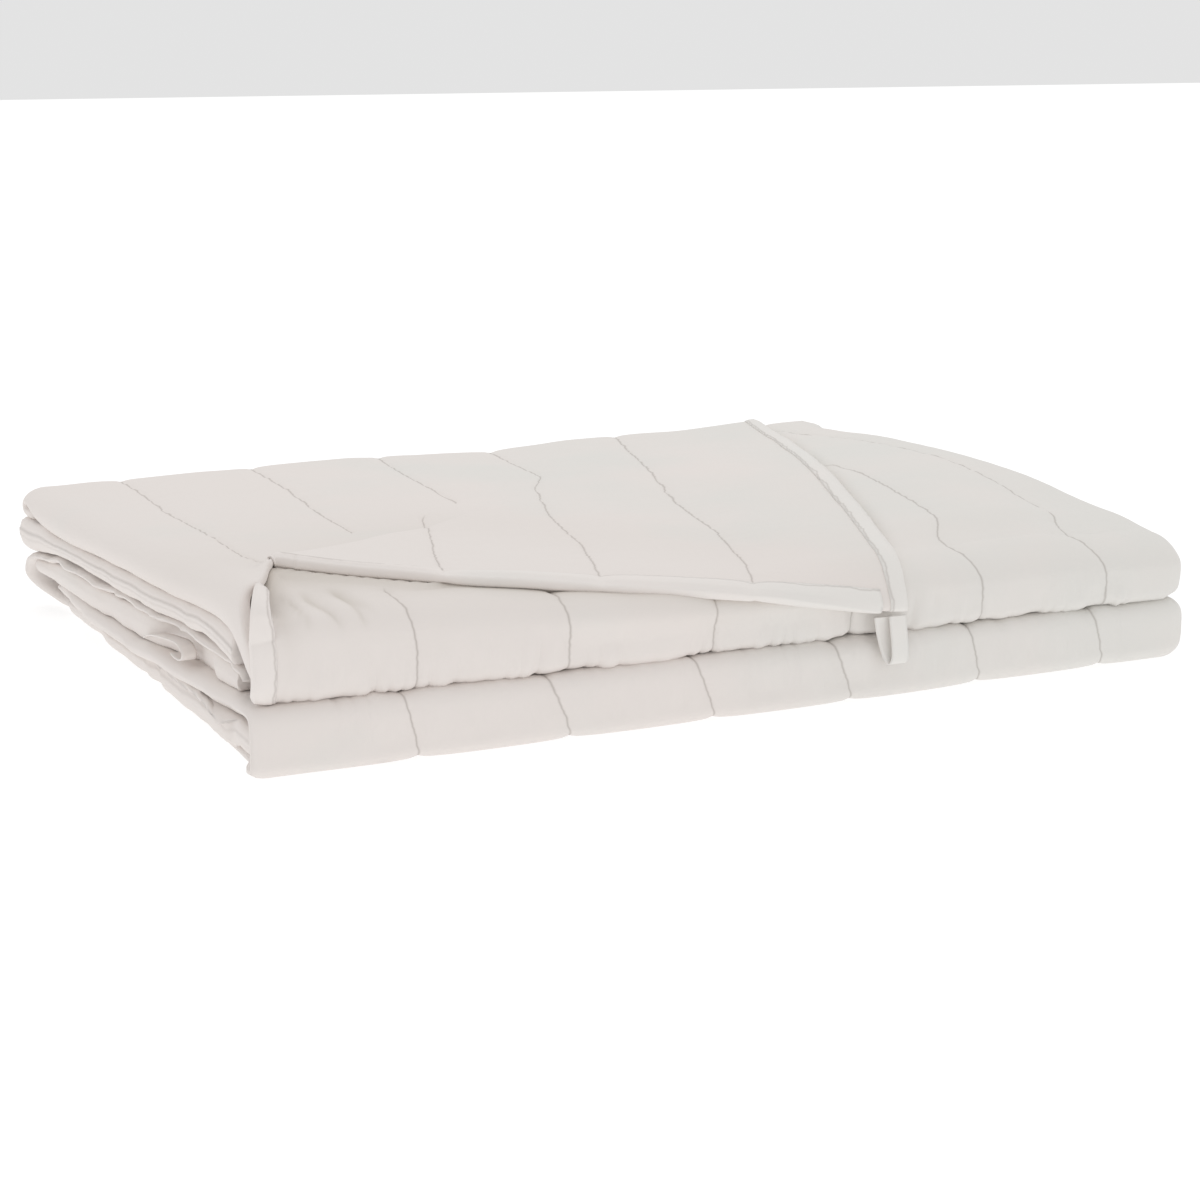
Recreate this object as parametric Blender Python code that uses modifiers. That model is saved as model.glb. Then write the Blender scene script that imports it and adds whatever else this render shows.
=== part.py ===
# Quilted weighted blanket, folded into a flat stack with one corner turned over.
# All tables are in centimetres: X runs along the long front, Y to the back, Z up.
import math

import bmesh
import bpy
import numpy as np
from mathutils import Matrix

# Driving dimensions, in centimetres
CM = 0.01
PANEL = 10.0            # width of one quilted channel
LENGTH = 66.9           # folded length along the front
CLOTH = 0.9             # thickness of the filled cloth in the lower folds
TOP_CLOTH = 0.8         # thickness of the top layer
GROOVE = 0.13           # how far a sewn line draws each face in
SEAM = 4.25             # height of the groove between the two stacked folds
STACK = 9.0             # height of the stack at the back
TAPE = 0.10             # thickness of the binding tape
LOOP_GAP = 0.12         # clearance of the loop below the turned-over corner
TAPE_GAP = 0.12         # clearance between tape and cloth
CORNER_GAP = 0.16       # the same at the front left corner, where the cloth twists
WRAP = 1.5              # plan radius of the rounded left end
BACK_ROW = 51.3         # where the level layers turn into the back folds

# Sewn lines of the top layer in plan: line number, then its (y, x) points, back to front
TOP_LINES = {
    1: [(51.5, 7.2), (42.0, 6.9), (35.0, 6.0), (27.0, 5.6), (20.0, 5.0), (13.5, 4.2), (8.5, 4.0)],
    2: [(51.5, 17.5), (42.0, 17.0), (30.3, 15.7), (23.7, 15.2), (16.0, 9.6), (7.8, 5.2)],
    3: [(51.5, 28.0), (42.0, 26.7), (31.5, 26.3), (27.8, 21.8), (19.7, 19.0), (11.2, 15.8), (4.0, 13.4)],
    4: [(51.5, 37.6), (42.0, 36.5), (34.7, 33.8), (24.0, 29.9), (14.0, 27.5), (1.0, 22.6)],
    5: [(51.5, 48.9), (47.0, 47.4), (36.8, 44.2), (24.4, 40.1), (14.7, 38.0), (4.3, 34.4), (-1.0, 32.2)],
    6: [(51.5, 61.2), (46.7, 59.8), (40.2, 58.1), (31.4, 54.5), (22.4, 51.2), (17.2, 49.3), (11.1, 47.2),
        (7.3, 45.6), (1.6, 43.1), (-1.0, 42.0)],
}
# Front edge of the top layer: line, where the level part ends, hanging length, bend per cm
TOP_EDGE = [
    # line, level_to, hang, curl
    (0.45, 3.4, 0.0, 0.0),
    (1.0, 8.5, 0.0, 0.0),
    (2.0, 7.8, 0.0, 0.0),
    (3.0, 4.0, 0.0, 0.03),
    (4.0, 4.0, 3.0, 0.055),
    (5.0, 3.0, 4.3, 0.08),
    (5.5, 2.8, 4.4, 0.18),
    (6.0, 2.4, 4.8, 0.30),
]
# Left end of the stack, front to back: middle of the top layer's hem, slit over the arm layer
LEFT_END = [
    # y, hem, slit
    (1.5, 5.2, 5.0),
    (3.0, 7.0, 5.4),
    (7.0, 8.4, 6.1),
    (11.0, 8.4, 6.2),
    (20.0, 8.0, 5.8),
    (30.0, 7.5, 5.5),
    (44.0, 7.0, 5.3),
    (50.0, 6.7, 4.5),
]
# Arm layer away from its end: y, middle
ARM_LEVEL = [(3.6, SEAM + 0.55), (15.0, 4.2), (49.8, 3.8)]
# Inset of the bottom layer's left edge, front to back
BOTTOM_INSET = [(2.0, 0.4), (12.0, 0.9), (26.0, 1.5), (50.0, 1.7)]
# Turned-in plies that fill the lower fold, front to back
INNER_PLIES = [
    # y, top, under
    (5.4, 3.95, 3.05),
    (6.8, 3.90, 2.20),
    (8.5, 3.75, 1.12),
    (15.0, 3.35, 1.05),
    (30.0, 3.20, 1.05),
    (46.0, 3.15, 1.08),
    (46.9, 2.60, 1.60),
]
# Crease of the turned-over corner in plan: tip and pivot
CREASE_TIP = (4.2, 8.9)
CREASE_PIVOT = (34.0, 34.0)
CREASE_RISE = 0.55

# Loop of tape between the layers at the left end: y, z, x
INNER_LOOP = [
    (11.6, 3.58, 1.0), (12.5, 4.2, 0.7), (14.0, 4.7, 0.4), (15.4, 4.55, 0.35), (16.4, 4.25, 0.4),
    (18.5, 4.15, 0.4), (21.0, 3.95, 0.4), (23.3, 3.6, 0.5),
]

COLLECTION = "weighted_blanket"


def ease(value):
    t = np.clip(value, 0.0, 1.0)
    return t * t * (3.0 - 2.0 * t)


def hump(value):
    return np.exp(-value * value)


def column_of(table, at, key, value):
    rows = np.array([(row[key], row[value]) for row in table], dtype=float)
    order = np.argsort(rows[:, 0])
    return np.interp(at, rows[order, 0], rows[order, 1])


# ---- heights of the layers over the plan -------------------------------------------------

def base_height(x, y):
    """Top of the stack without the lifted corner."""
    right_step = 0.9 * ease((x - 36.0) / 16.0)
    right_dome = 1.3 * hump((x - 59.0) / 10.0) * hump((y - 20.0) / 17.0)
    left_rise = 1.3 * (1.0 - ease((x - 2.0) / 22.0)) * ease((46.0 - y) / 36.0)
    return STACK + right_step + right_dome + left_rise


def crease_height(x, y):
    dx = CREASE_PIVOT[0] - CREASE_TIP[0]
    dy = CREASE_PIVOT[1] - CREASE_TIP[1]
    run = math.hypot(dx, dy)
    across = ((x - CREASE_TIP[0]) * dy - (y - CREASE_TIP[1]) * dx) / run
    along = ((x - CREASE_TIP[0]) * dx + (y - CREASE_TIP[1]) * dy) / run
    rise = ease((across + 0.6) / 1.2) * np.exp(-np.clip(across, 0.0, None) / 6.0)
    return CREASE_RISE * rise * ease((along + 3.0) / 3.0) * (1.0 - ease((along - 12.0) / 26.0))


def top_height(x, y):
    lip = 0.6 * hump((y - 3.0) / 8.0) * (1.0 - ease((x - 18.0) / 20.0))
    tip = 0.2 * hump((x - 3.0) / 4.0) * hump((y - 8.0) / 7.0)
    return base_height(x, y) + lip + tip + crease_height(x, y)


def edge_x(y):
    points = sorted(TOP_LINES[6])
    return np.interp(y, [p[0] for p in points], [p[1] for p in points])


def nose_top(x):
    clear = 0.2 + 0.14 * ease((x - 20.0) / 8.0)
    under_flap = np.minimum(top_height(x, 3.6) - TOP_CLOTH - clear, 9.35)
    open_right = 8.9
    share = ease((x - 42.0) / 5.0)
    corner = 0.7 * (1.0 - ease(x / 3.5))
    return under_flap * (1.0 - share) + open_right * share + corner


def under_height(x, y):
    """Top face of the second layer, which is the visible top right of the flap's short edge."""
    beyond = ease((x - edge_x(y) - 1.5) / 3.0)
    level = base_height(x, y) - 1.2 * (1.0 - beyond) - 0.5 * beyond
    lifted = (1.0 - beyond) * (1.0 - ease((x - 22.0) / 10.0)) * (1.0 - ease((y - 7.5) / 5.0))
    level = level + (top_height(x, y) - TOP_CLOTH - 0.3 - level) * lifted
    front = ease((y - 3.0) / 5.0)
    return nose_top(x) * (1.0 - front) + level * front


def left_share(x):
    """1 at the left end of the stack, 0 where the layers lie level."""
    return 1.0 - ease((x - 2.0) / 7.0)


def arm_height(x, y):
    """Middle of the arm layer, which rises towards the left end."""
    level = np.interp(y, [row[0] for row in ARM_LEVEL], [row[1] for row in ARM_LEVEL])
    edge = column_of(LEFT_END, y, 0, 2) - 0.1 - CLOTH / 2
    return level + (edge - level) * left_share(x)


# ---- columns: how a layer runs from its left end to its right end -------------------------

WRAP_STEPS = [1.0, 0.82, 0.64, 0.46, 0.28, 0.1]
RIGHT_STEPS = [0.1, 0.4, 0.7, 1.0]
PANEL_STEPS = [0.0, 0.12, 0.5, 0.88]


def cloth_columns():
    """Cloth position of each column in panels, and its share of the left and right end."""
    panels = [0.5, 0.88]
    for line in range(1, 6):
        panels += [line + step for step in PANEL_STEPS]
    panels = panels[:-2] + [5.3, 5.58, 5.84, 5.88, 5.94, 6.0, 6.12]
    left = [0.45] * len(WRAP_STEPS)
    right = [6.25] * len(RIGHT_STEPS)
    share_left = WRAP_STEPS + [0.0] * (len(panels) + len(right))
    share_right = [0.0] * (len(left) + len(panels)) + RIGHT_STEPS
    return np.array(left + panels + right), np.array(share_left), np.array(share_right)


CLOTH_AT, LEFT_SHARE, RIGHT_SHARE = cloth_columns()
COLUMNS = len(CLOTH_AT)
EDGE_COLUMN = int(np.argmax(CLOTH_AT >= 6.0))


def quilt_share():
    """1 in the middle of a panel, 0 on a sewn line."""
    part = np.abs(CLOTH_AT - np.round(CLOTH_AT))
    puff = np.sqrt(np.clip(part / 0.5, 0.0, 1.0))
    puff[CLOTH_AT < 0.5] = 1.0
    puff[RIGHT_SHARE > 0.0] = 0.8
    return puff


def end_round(share, round_from=0.8):
    """Share of the thickness that is left near a plain end."""
    part = np.clip((share - round_from) / (1.0 - round_from), 0.0, 1.0)
    return np.sqrt(1.0 - 0.8 * part * part)


def plain_x(left, right):
    """X of each column for a layer with plain ends."""
    x = CLOTH_AT * PANEL
    inner_left = 0.45 * PANEL
    inner_right = 6.25 * PANEL
    x = np.where(LEFT_SHARE > 0.0, left + (inner_left - left) * (1.0 - LEFT_SHARE) / 0.9, x)
    return np.where(RIGHT_SHARE > 0.0, right - (right - inner_right) * (1.0 - RIGHT_SHARE) / 0.9, x)


def wrap_end(points, share, angle, center_y, center_z, reach, side):
    """Bend the end of a row round an upright ellipse; side is -1 on the left and 1 on the right."""
    bend = np.radians(angle) * np.clip((share - 0.1) / 0.9, 0.0, 1.0)
    bent = points.copy()
    edge = 0.0 if side < 0 else LENGTH
    bent[:, 0] = edge - side * reach * (1.0 - np.sin(bend))
    keep = np.cos(bend) if side < 0 else np.sign(np.cos(bend)) * np.abs(np.cos(bend)) ** 0.6
    bent[:, 1] = center_y + (points[:, 1] - center_y) * keep
    bent[:, 2] = center_z + (points[:, 2] - center_z) * keep
    return bent


def blend_end(points, bent, share, weight):
    mix = np.where(share > 0.0, weight, 0.0)[:, None]
    return points * (1.0 - mix) + bent * mix


# ---- rows of the chain: top layer, back fold, second layer, nose, arm, lower fold ---------

rows = []        # each row: points, half thickness


def add_row(points, half):
    rows.append((points, half))


def top_plan_x(y):
    """X of every column on the top layer at the given Y values, one for each column."""
    x = np.zeros(COLUMNS)
    for index, line in enumerate(CLOTH_AT):
        low = int(np.clip(math.floor(line), 0, 5))
        high = low + 1
        ends = []
        for number in (low, high):
            if number == 0:
                ends.append(WRAP)
                continue
            points = sorted(TOP_LINES[number])
            ends.append(np.interp(y[index], [p[0] for p in points], [p[1] for p in points]))
        part = line - low
        if low == 0:
            part = (line - 0.45) / 0.55
        x[index] = ends[0] + (ends[1] - ends[0]) * min(part, 1.0)
    return x


def top_front():
    """Where the level part of each column ends, its hanging length and its bend."""
    level_to = column_of(TOP_EDGE, CLOTH_AT, 0, 1)
    hang = column_of(TOP_EDGE, CLOTH_AT, 0, 2)
    curl = column_of(TOP_EDGE, CLOTH_AT, 0, 3)
    bend = np.radians(150.0) * np.clip((LEFT_SHARE - 0.1) / 0.9, 0.0, 1.0)
    around = np.where(LEFT_SHARE > 0.0, np.clip(np.cos(bend), 0.0, 1.0), 1.0)
    level_to = 1.5 + (level_to - 1.5) * around
    return level_to, hang, curl


def top_row(gap_to_edge, fraction):
    """One row of the top layer: fraction 0 at the back, 1 at gap_to_edge from the front edge."""
    level_to, hang, curl = top_front()
    full = (BACK_ROW - level_to) + hang
    run = fraction * (full - gap_to_edge)
    level = BACK_ROW - level_to
    past = np.clip(run - level, 0.0, None)
    y_level = BACK_ROW - np.minimum(run, level)
    turn = np.minimum(curl * past, math.radians(88.0))
    round_run = np.where(curl > 0.0, turn / np.maximum(curl, 1e-6), 0.0)
    straight = past - round_run
    radius = 1.0 / np.maximum(curl, 1e-3)
    drop = radius * (1.0 - np.cos(turn)) + straight * np.sin(turn)
    forward = radius * np.sin(turn) + straight * np.cos(turn)
    y = y_level - np.where(past > 0.0, forward, 0.0)
    x = top_plan_x(y)
    z = top_height(x, y_level) - TOP_CLOTH / 2 - np.where(past > 0.0, drop, 0.0)
    points = np.stack([x, y, z], axis=1)
    hem = column_of(LEFT_END, y, 0, 1)
    corner = ease((y - BACK_ROW + 6.0) / 6.0)
    angle = 150.0 - 65.0 * corner
    hem = hem * (1.0 - corner) + (STACK - 1.4) * corner
    fall = 1.0 - np.cos(np.radians(angle))
    center = z - (z - hem) / fall
    center = center * (1.0 - corner) + 7.6 * corner
    bent = wrap_end(points, LEFT_SHARE, angle, y, center, WRAP, -1)
    points = blend_end(points, bent, LEFT_SHARE, 1.0)
    return points


def build_rows():
    puff = quilt_share()
    top_half = TOP_CLOTH / 2 - GROOVE * (1.0 - puff)
    half = CLOTH / 2 - GROOVE * (1.0 - puff)
    plain_half = np.full(COLUMNS, CLOTH / 2)
    round_left = end_round(LEFT_SHARE)
    round_right = end_round(RIGHT_SHARE)

    # top layer, front edge to back
    for gap, rim in ((0.0, 0.75), (0.6, 0.95), (1.2, 1.0)):
        add_row(top_row(gap, 1.0), np.minimum(top_half, TOP_CLOTH / 2 * rim) * end_round(LEFT_SHARE, 0.9))
    for fraction in (0.955, 0.91, 0.86, 0.8, 0.73, 0.66, 0.59, 0.52, 0.45, 0.37, 0.28, 0.19, 0.1, 0.03):
        add_row(top_row(1.2, fraction), top_half * end_round(LEFT_SHARE, 0.9))
    top_rows = len(rows)

    # back fold between the top layer and the second one
    x_top = top_plan_x(np.full(COLUMNS, BACK_ROW))
    x_under = plain_x(1.6, LENGTH)
    fold_y = BACK_ROW
    under_back = 6.6
    for angle in (90, 60, 30, 0, -30, -60):
        phi = math.radians(angle)
        share = (90 - angle) / 180.0
        x = x_top * (1.0 - share) + x_under * share
        high = top_height(x_top, BACK_ROW) - TOP_CLOTH / 2
        center = (high + under_back) / 2
        z = center + (high - under_back) / 2 * math.sin(phi)
        y = np.full(COLUMNS, fold_y + 1.05 * math.cos(phi))
        points = np.stack([x, y, z], axis=1)
        bent = wrap_end(points, LEFT_SHARE, 85.0, fold_y, center, WRAP, -1)
        points = blend_end(points, bent, LEFT_SHARE, 1.0)
        add_row(points, top_half * end_round(LEFT_SHARE, 0.9))
    fold_rows = len(rows)

    # second layer, back to front
    for y_row in (BACK_ROW, BACK_ROW - 2.0, BACK_ROW - 4.5, 42.0, 35.0, 27.0, 19.0, 13.0, 9.0, 6.3, 4.6):
        x = plain_x(1.6, LENGTH)
        y = np.full(COLUMNS, y_row)
        back = ease((y_row - BACK_ROW + 5.5) / 5.5)
        level = under_height(x, y) - CLOTH / 2
        beyond = ease((x - edge_x(y) + 1.0) / 2.0)
        z = level * (1.0 - back * (1.0 - beyond)) + under_back * back * (1.0 - beyond)
        thick = plain_half + 0.85 * back * beyond
        z = z - 0.85 * back * beyond
        points = np.stack([x, y, z], axis=1)
        bent = wrap_end(points, LEFT_SHARE, 85.0, y, np.full(COLUMNS, 7.6), WRAP, -1)
        points = blend_end(points, bent, LEFT_SHARE, float(ease((y_row - BACK_ROW + 5.0) / 5.0)))
        nose_center = (nose_top(np.full(COLUMNS, LENGTH)) + SEAM) / 2
        center = nose_center + (7.4 - nose_center) * ease((y_row - 4.0) / 6.0)
        closed = float(ease((y_row - 4.0) / 6.0) * (1.0 - ease((y_row - BACK_ROW + 4.0) / 4.0)))
        angle = 75.0 + 50.0 * closed
        bent = wrap_end(points, RIGHT_SHARE, angle, y, center, 1.8, 1)
        points = blend_end(points, bent, RIGHT_SHARE, float(1.0 - 0.9 * ease((y_row - BACK_ROW + 6.0) / 4.0)))
        shown = ease((x - edge_x(y)) / 2.0)
        thick = thick - GROOVE * (1.0 - puff) * shown
        add_row(points, thick * round_left * np.where(RIGHT_SHARE > 0.9, 0.6, 1.0))

    # upper nose, over the front and back under
    nose_first = len(rows)
    for angle in (90, 112, 132, 150, 166, 180, 194, 210, 228, 248, 270):
        phi = math.radians(angle)
        x = plain_x(1.1, LENGTH)
        top = nose_top(x)
        deep = 3.6 - 1.4 * (1.0 - ease(x / 6.0))
        center_y = deep
        center_z = (top + SEAM + 0.1) / 2
        upright = ease((angle - 150.0) / 60.0) * ease(x / 6.0)
        square = 1.0 - 0.25 * (1.0 - ease(x / 6.0)) - 0.58 * upright
        y = center_y + (deep - CLOTH / 2) * math.copysign(1.0, math.cos(phi)) * abs(math.cos(phi)) ** square
        z = center_z + ((top - SEAM - 0.1) / 2 - CLOTH / 2) * math.copysign(1.0, math.sin(phi)) * abs(
            math.sin(phi)) ** square
        out = ease((0.95 - y) / 0.3)
        x = np.where(LEFT_SHARE > 0.0, plain_x(1.1, LENGTH) - 0.85 * out * LEFT_SHARE, x)
        points = np.stack([x, y, z], axis=1)
        bent = wrap_end(points, RIGHT_SHARE, 75.0, center_y, center_z, 1.8, 1)
        points = blend_end(points, bent, RIGHT_SHARE, 1.0)
        add_row(points, half * round_left)

    nose_rows = (nose_first, len(rows))

    # arm layer, front to back
    for y_row in (6.0, 11.0, 18.0, 27.0, 36.0, 44.0, BACK_ROW - 1.5):
        x = plain_x(0.35 + 0.2 * math.sin(y_row), LENGTH - 0.4)
        y = np.full(COLUMNS, y_row)
        z = arm_height(x, y)
        points = np.stack([x, y, z], axis=1)
        bent = wrap_end(points, RIGHT_SHARE, 85.0, y, np.full(COLUMNS, 6.6), 1.8, 1)
        points = blend_end(points, bent, RIGHT_SHARE, float(1.0 - ease((y_row - 4.0) / 2.4)))
        add_row(points, plain_half * round_left * round_right)

    # lower back fold
    for angle in (70, 42, 14, -14, -42, -70):
        phi = math.radians(angle)
        inset = 0.15 + 1.55 * ((70 - angle) / 140.0) ** 2.5
        x = plain_x(inset, LENGTH - 0.4)
        high, low = 3.8, CLOTH / 2
        z = np.full(COLUMNS, (high + low) / 2 + (high - low) / 2 * math.sin(phi))
        y = np.full(COLUMNS, BACK_ROW - 0.8 + 1.7 * math.cos(phi))
        add_row(np.stack([x, y, z], axis=1), half * round_left * round_right)

    # bottom layer, back to front, flat on the surface
    for y_row in (BACK_ROW - 1.4, 43.0, 34.0, 24.0, 14.0, 7.0, 3.8):
        inset = float(np.interp(y_row, [p[0] for p in BOTTOM_INSET], [p[1] for p in BOTTOM_INSET]))
        x = plain_x(inset, LENGTH - 0.4)
        y = np.full(COLUMNS, y_row)
        z = np.full(COLUMNS, CLOTH / 2)
        points = np.stack([x, y, z], axis=1)
        add_row(points, plain_half * round_left * round_right)

    # lower front nose
    for angle in (-75, -50, -25, 0, 25, 50, 75):
        phi = math.radians(angle)
        x = plain_x(0.35, LENGTH)
        slope = ease((x - 1.0) / 7.0) * (1.0 - ease((x - 60.0) / 4.0))
        front_z = 2.1 - 0.9 * slope
        high = SEAM - 0.05 - CLOTH / 2 - 0.3 * slope
        if angle < 0:
            y = np.full(COLUMNS, 3.2 - 2.75 * math.cos(phi))
            z = front_z + (front_z - CLOTH / 2) * math.sin(phi)
        else:
            y = 0.45 + (2.5 + 2.4 * slope) * (1.0 - math.cos(phi))
            z = front_z + (high - front_z) * math.sin(phi)
        points = np.stack([x, y, z], axis=1)
        bent = wrap_end(points, RIGHT_SHARE, 70.0, 2.5, 2.1, 1.6, 1)
        points = blend_end(points, bent, RIGHT_SHARE, 1.0)
        add_row(points, half * round_left)

    # turned-in plies inside the lower fold
    for y_row, top_row_z, under_row_z in INNER_PLIES:
        x = plain_x(0.6, LENGTH - 0.8)
        y = np.full(COLUMNS, y_row)
        thick = (top_row_z - under_row_z) / 2 * round_left * round_right
        add_row(np.stack([x, y, top_row_z - thick], axis=1), thick)
    return top_rows, fold_rows, nose_rows


def shell(name, points, half, keep_face=None):
    """A closed sheet: a grid laid on the middle of the cloth, then thickened to both sides."""
    count_v, count_u = points.shape[:2]
    mesh = bpy.data.meshes.new(name)
    bm = bmesh.new()
    bmesh.ops.create_grid(bm, x_segments=count_u - 1, y_segments=count_v - 1, size=1.0)
    row_of = bm.verts.layers.int.new("row")
    column_layer = bm.verts.layers.int.new("column")
    order = sorted(bm.verts, key=lambda v: (round(v.co.y, 5), round(v.co.x, 5)))
    for index, vert in enumerate(order):
        vert[row_of], vert[column_layer] = divmod(index, count_u)
    if keep_face is not None:
        masked = [face for face in bm.faces
                  if not keep_face(min(v[row_of] for v in face.verts),
                                   min(v[column_layer] for v in face.verts))]
        bmesh.ops.delete(bm, geom=masked, context="FACES")
    weights = bm.verts.layers.deform.verify()
    widest = float(half.max())
    for vert in bm.verts:
        place = vert[row_of], vert[column_layer]
        vert.co = [float(c) * CM for c in points[place]]
        vert[weights][0] = float(half[place]) / widest
    bm.to_mesh(mesh)
    bm.free()
    obj = bpy.data.objects.new(name, mesh)
    bpy.data.collections[COLLECTION].objects.link(obj)
    obj.vertex_groups.new(name="thickness")
    solid = obj.modifiers.new("cloth thickness", "SOLIDIFY")
    solid.thickness = 2.0 * widest * CM
    solid.offset = 0.0
    solid.vertex_group = "thickness"
    solid.thickness_vertex_group = 0.0
    return obj


def rolled_ply():
    """The ply between the second layer and the arm: joined to the arm, free at its ends."""
    ys = np.array([4.4, 4.7, 5.4, 6.5, 11.0, 20.0, 32.0, 44.0, 49.8, 51.5, 52.1, 52.4])
    xs = np.array([0.05, 0.25, 0.6, 1.2, 2.0, 3.5, 5.0, 7.0, 10.0, 25.0, 45.0, 58.0, 61.0, 63.5, 64.6, 65.0, 65.2])
    points = np.zeros((len(ys), len(xs), 3))
    half = np.zeros((len(ys), len(xs)))
    for row, y in enumerate(ys):
        hem = float(column_of(LEFT_END, y, 0, 1))
        slit = float(column_of(LEFT_END, y, 0, 2))
        for col, x in enumerate(xs):
            free = max(float(left_share(x)), float(ease((y - 45.0) / 4.5)), float(ease((x - 60.0) / 2.0)))
            low = float(arm_height(x, y)) + (CLOTH / 2 + 0.2) * free
            end_high = hem - TOP_CLOTH / 2 - 0.2
            level_high = float(arm_height(x, y)) + 1.6
            high = level_high + (end_high - level_high) * float(left_share(x))
            points[row, col] = (x, y, (low + high) / 2)
            rim = min(x - xs[0], xs[-1] - x, (y - ys[0]) * 1.2, ys[-1] - y)
            part = min(1.0, rim / 0.8)
            half[row, col] = (high - low) / 2 * math.sqrt(max(0.08, 1.0 - (1.0 - part) ** 2))
    return shell("rolled_ply", points, half)


# ---- binding tape and loops ----------------------------------------------------------------

def cloth_normals(points):
    across = np.gradient(points, axis=1)
    along = np.gradient(points, axis=0)
    normal = np.cross(across, along)
    return normal / np.maximum(np.linalg.norm(normal, axis=2, keepdims=True), 1e-9)


def unit(vector):
    return vector / np.linalg.norm(vector)


def bound_edge(name, stations, gap=TAPE_GAP):
    """Tape folded round an edge; a station is its cloth points from the edge inwards,
    with their normals and half thickness."""
    out = gap + TAPE / 2
    lines = []
    for points, normals, halves in stations:
        outward = unit(points[0] - points[1])
        rim = points[0] + outward * (out + 0.02)
        top = [p + n * (h + out) for p, n, h in zip(points, normals, halves)]
        low = [p - n * (h + out) for p, n, h in zip(points, normals, halves)]
        half = halves[0] + out
        middle = [rim + normals[0] * half * 0.75, rim + outward * 0.06, rim - normals[0] * half * 0.75]
        lines.append(top[::-1] + middle + low)
    grid = np.array(lines)
    return shell(name, grid, np.full(grid.shape[:2], TAPE / 2))


def flap_tapes(points, half, top_rows):
    normals = cloth_normals(points[:top_rows])
    first = int(np.argmax(CLOTH_AT >= 2.0))
    front = []
    for column in range(first, EDGE_COLUMN - 2):
        front.append((points[:3, column], normals[:3, column], half[:3, column]))
    bound_edge("flap_front_binding", front)
    side = []
    for row in range(0, top_rows - 1):
        pick = [EDGE_COLUMN, EDGE_COLUMN - 1, EDGE_COLUMN - 2]
        side.append((points[row, pick], normals[row, pick], half[row, pick]))
    bound_edge("flap_side_binding", side[::-1])


def corner_tape(points, half, first_row, last_row):
    normals = cloth_normals(points)
    stations = []
    for row in range(first_row, last_row):
        stations.append((points[row, :3], normals[row, :3], half[row, :3]))
    bound_edge("corner_binding", stations[::-1], CORNER_GAP)


def tape_loop(name, path, width):
    """A flat tape along a path in the YZ plane: y, z and the x of its middle."""
    smooth = []
    count = len(path)
    for index in range(count - 1):
        for step in (0.0, 0.5):
            p = [np.array(path[min(max(index + k, 0), count - 1)], dtype=float) for k in (-1, 0, 1, 2)]
            t = step
            smooth.append(0.5 * (2 * p[1] + (p[2] - p[0]) * t + (2 * p[0] - 5 * p[1] + 4 * p[2] - p[3]) * t * t
                                 + (3 * p[1] - p[0] - 3 * p[2] + p[3]) * t ** 3))
    smooth.append(np.array(path[-1], dtype=float))
    grid = []
    for y, z, x in smooth:
        grid.append([(x - width / 2, y, z), (x, y, z), (x + width / 2, y, z)])
    grid = np.array(grid)
    return shell(name, grid, np.full(grid.shape[:2], TAPE / 2))


def fabric(name, color, roughness):
    material = bpy.data.materials.new(name)
    material.use_nodes = True
    shader = material.node_tree.nodes["Principled BSDF"]
    shader.inputs["Base Color"].default_value = (*color, 1.0)
    shader.inputs["Roughness"].default_value = roughness
    return material


def clear_scene():
    for obj in list(bpy.data.objects):
        bpy.data.objects.remove(obj, do_unlink=True)


def center_on_floor(objects):
    """Move every mesh so that the middle of the box's base is the origin."""
    bpy.context.view_layer.update()
    depsgraph = bpy.context.evaluated_depsgraph_get()
    corners = np.array([corner[:] for obj in objects for corner in obj.evaluated_get(depsgraph).bound_box])
    low, high = corners.min(axis=0), corners.max(axis=0)
    shift = Matrix.Translation((-(low[0] + high[0]) / 2, -(low[1] + high[1]) / 2, -low[2]))
    for mesh in bpy.data.meshes:
        mesh.transform(shift)


def main():
    clear_scene()
    collection = bpy.data.collections.new(COLLECTION)
    joined = bpy.data.collections.new("joined_in")
    bpy.context.scene.collection.children.link(collection)
    bpy.context.scene.collection.children.link(joined)
    top_rows, fold_rows, nose_rows = build_rows()
    points = np.array([row[0] for row in rows])
    half = np.array([row[1] for row in rows])

    def keep(v_low, u_low):
        return u_low < EDGE_COLUMN or v_low >= fold_rows

    cloth = fabric("quilt_cloth", (0.76, 0.73, 0.69), 0.9)
    tape = fabric("binding_tape", (0.80, 0.77, 0.73), 0.85)
    blanket = shell("quilt_folded", points, half, keep)
    ply = rolled_ply()
    ply.hide_render = True
    ply.display_type = "WIRE"
    collection.objects.unlink(ply)
    joined.objects.link(ply)
    join = blanket.modifiers.new("rolled ply", "BOOLEAN")
    join.operation = "UNION"
    join.solver = "EXACT"
    join.object = ply
    flap_tapes(points, half, top_rows)
    nose_first = nose_rows[0]
    corner_tape(points[nose_first:nose_rows[1]], half[nose_first:nose_rows[1]], 2, 9)
    corner = points[0, EDGE_COLUMN]
    down = unit(corner - points[1, EDGE_COLUMN])
    start = corner + down * LOOP_GAP
    x, y, z = float(start[0]) - 0.55, float(start[1]), float(start[2])
    tape_loop("flap_corner_loop", [
        (y - 0.1, z, x), (y - 0.2, z - 1.0, x), (y - 0.15, z - 2.1, x - 0.02), (y + 0.0, z - 2.5, x - 0.1),
        (y + 0.22, z - 2.2, x - 0.3), (y + 0.3, z - 1.0, x - 0.6), (y + 0.2, z - 0.05, x - 0.8)], 1.1)
    tape_loop("inner_corner_loop", INNER_LOOP, 1.0)
    for obj in collection.objects:
        obj.data.materials.append(cloth if obj.name == "quilt_folded" else tape)
    center_on_floor(collection.objects)


main()
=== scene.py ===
import math

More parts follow.
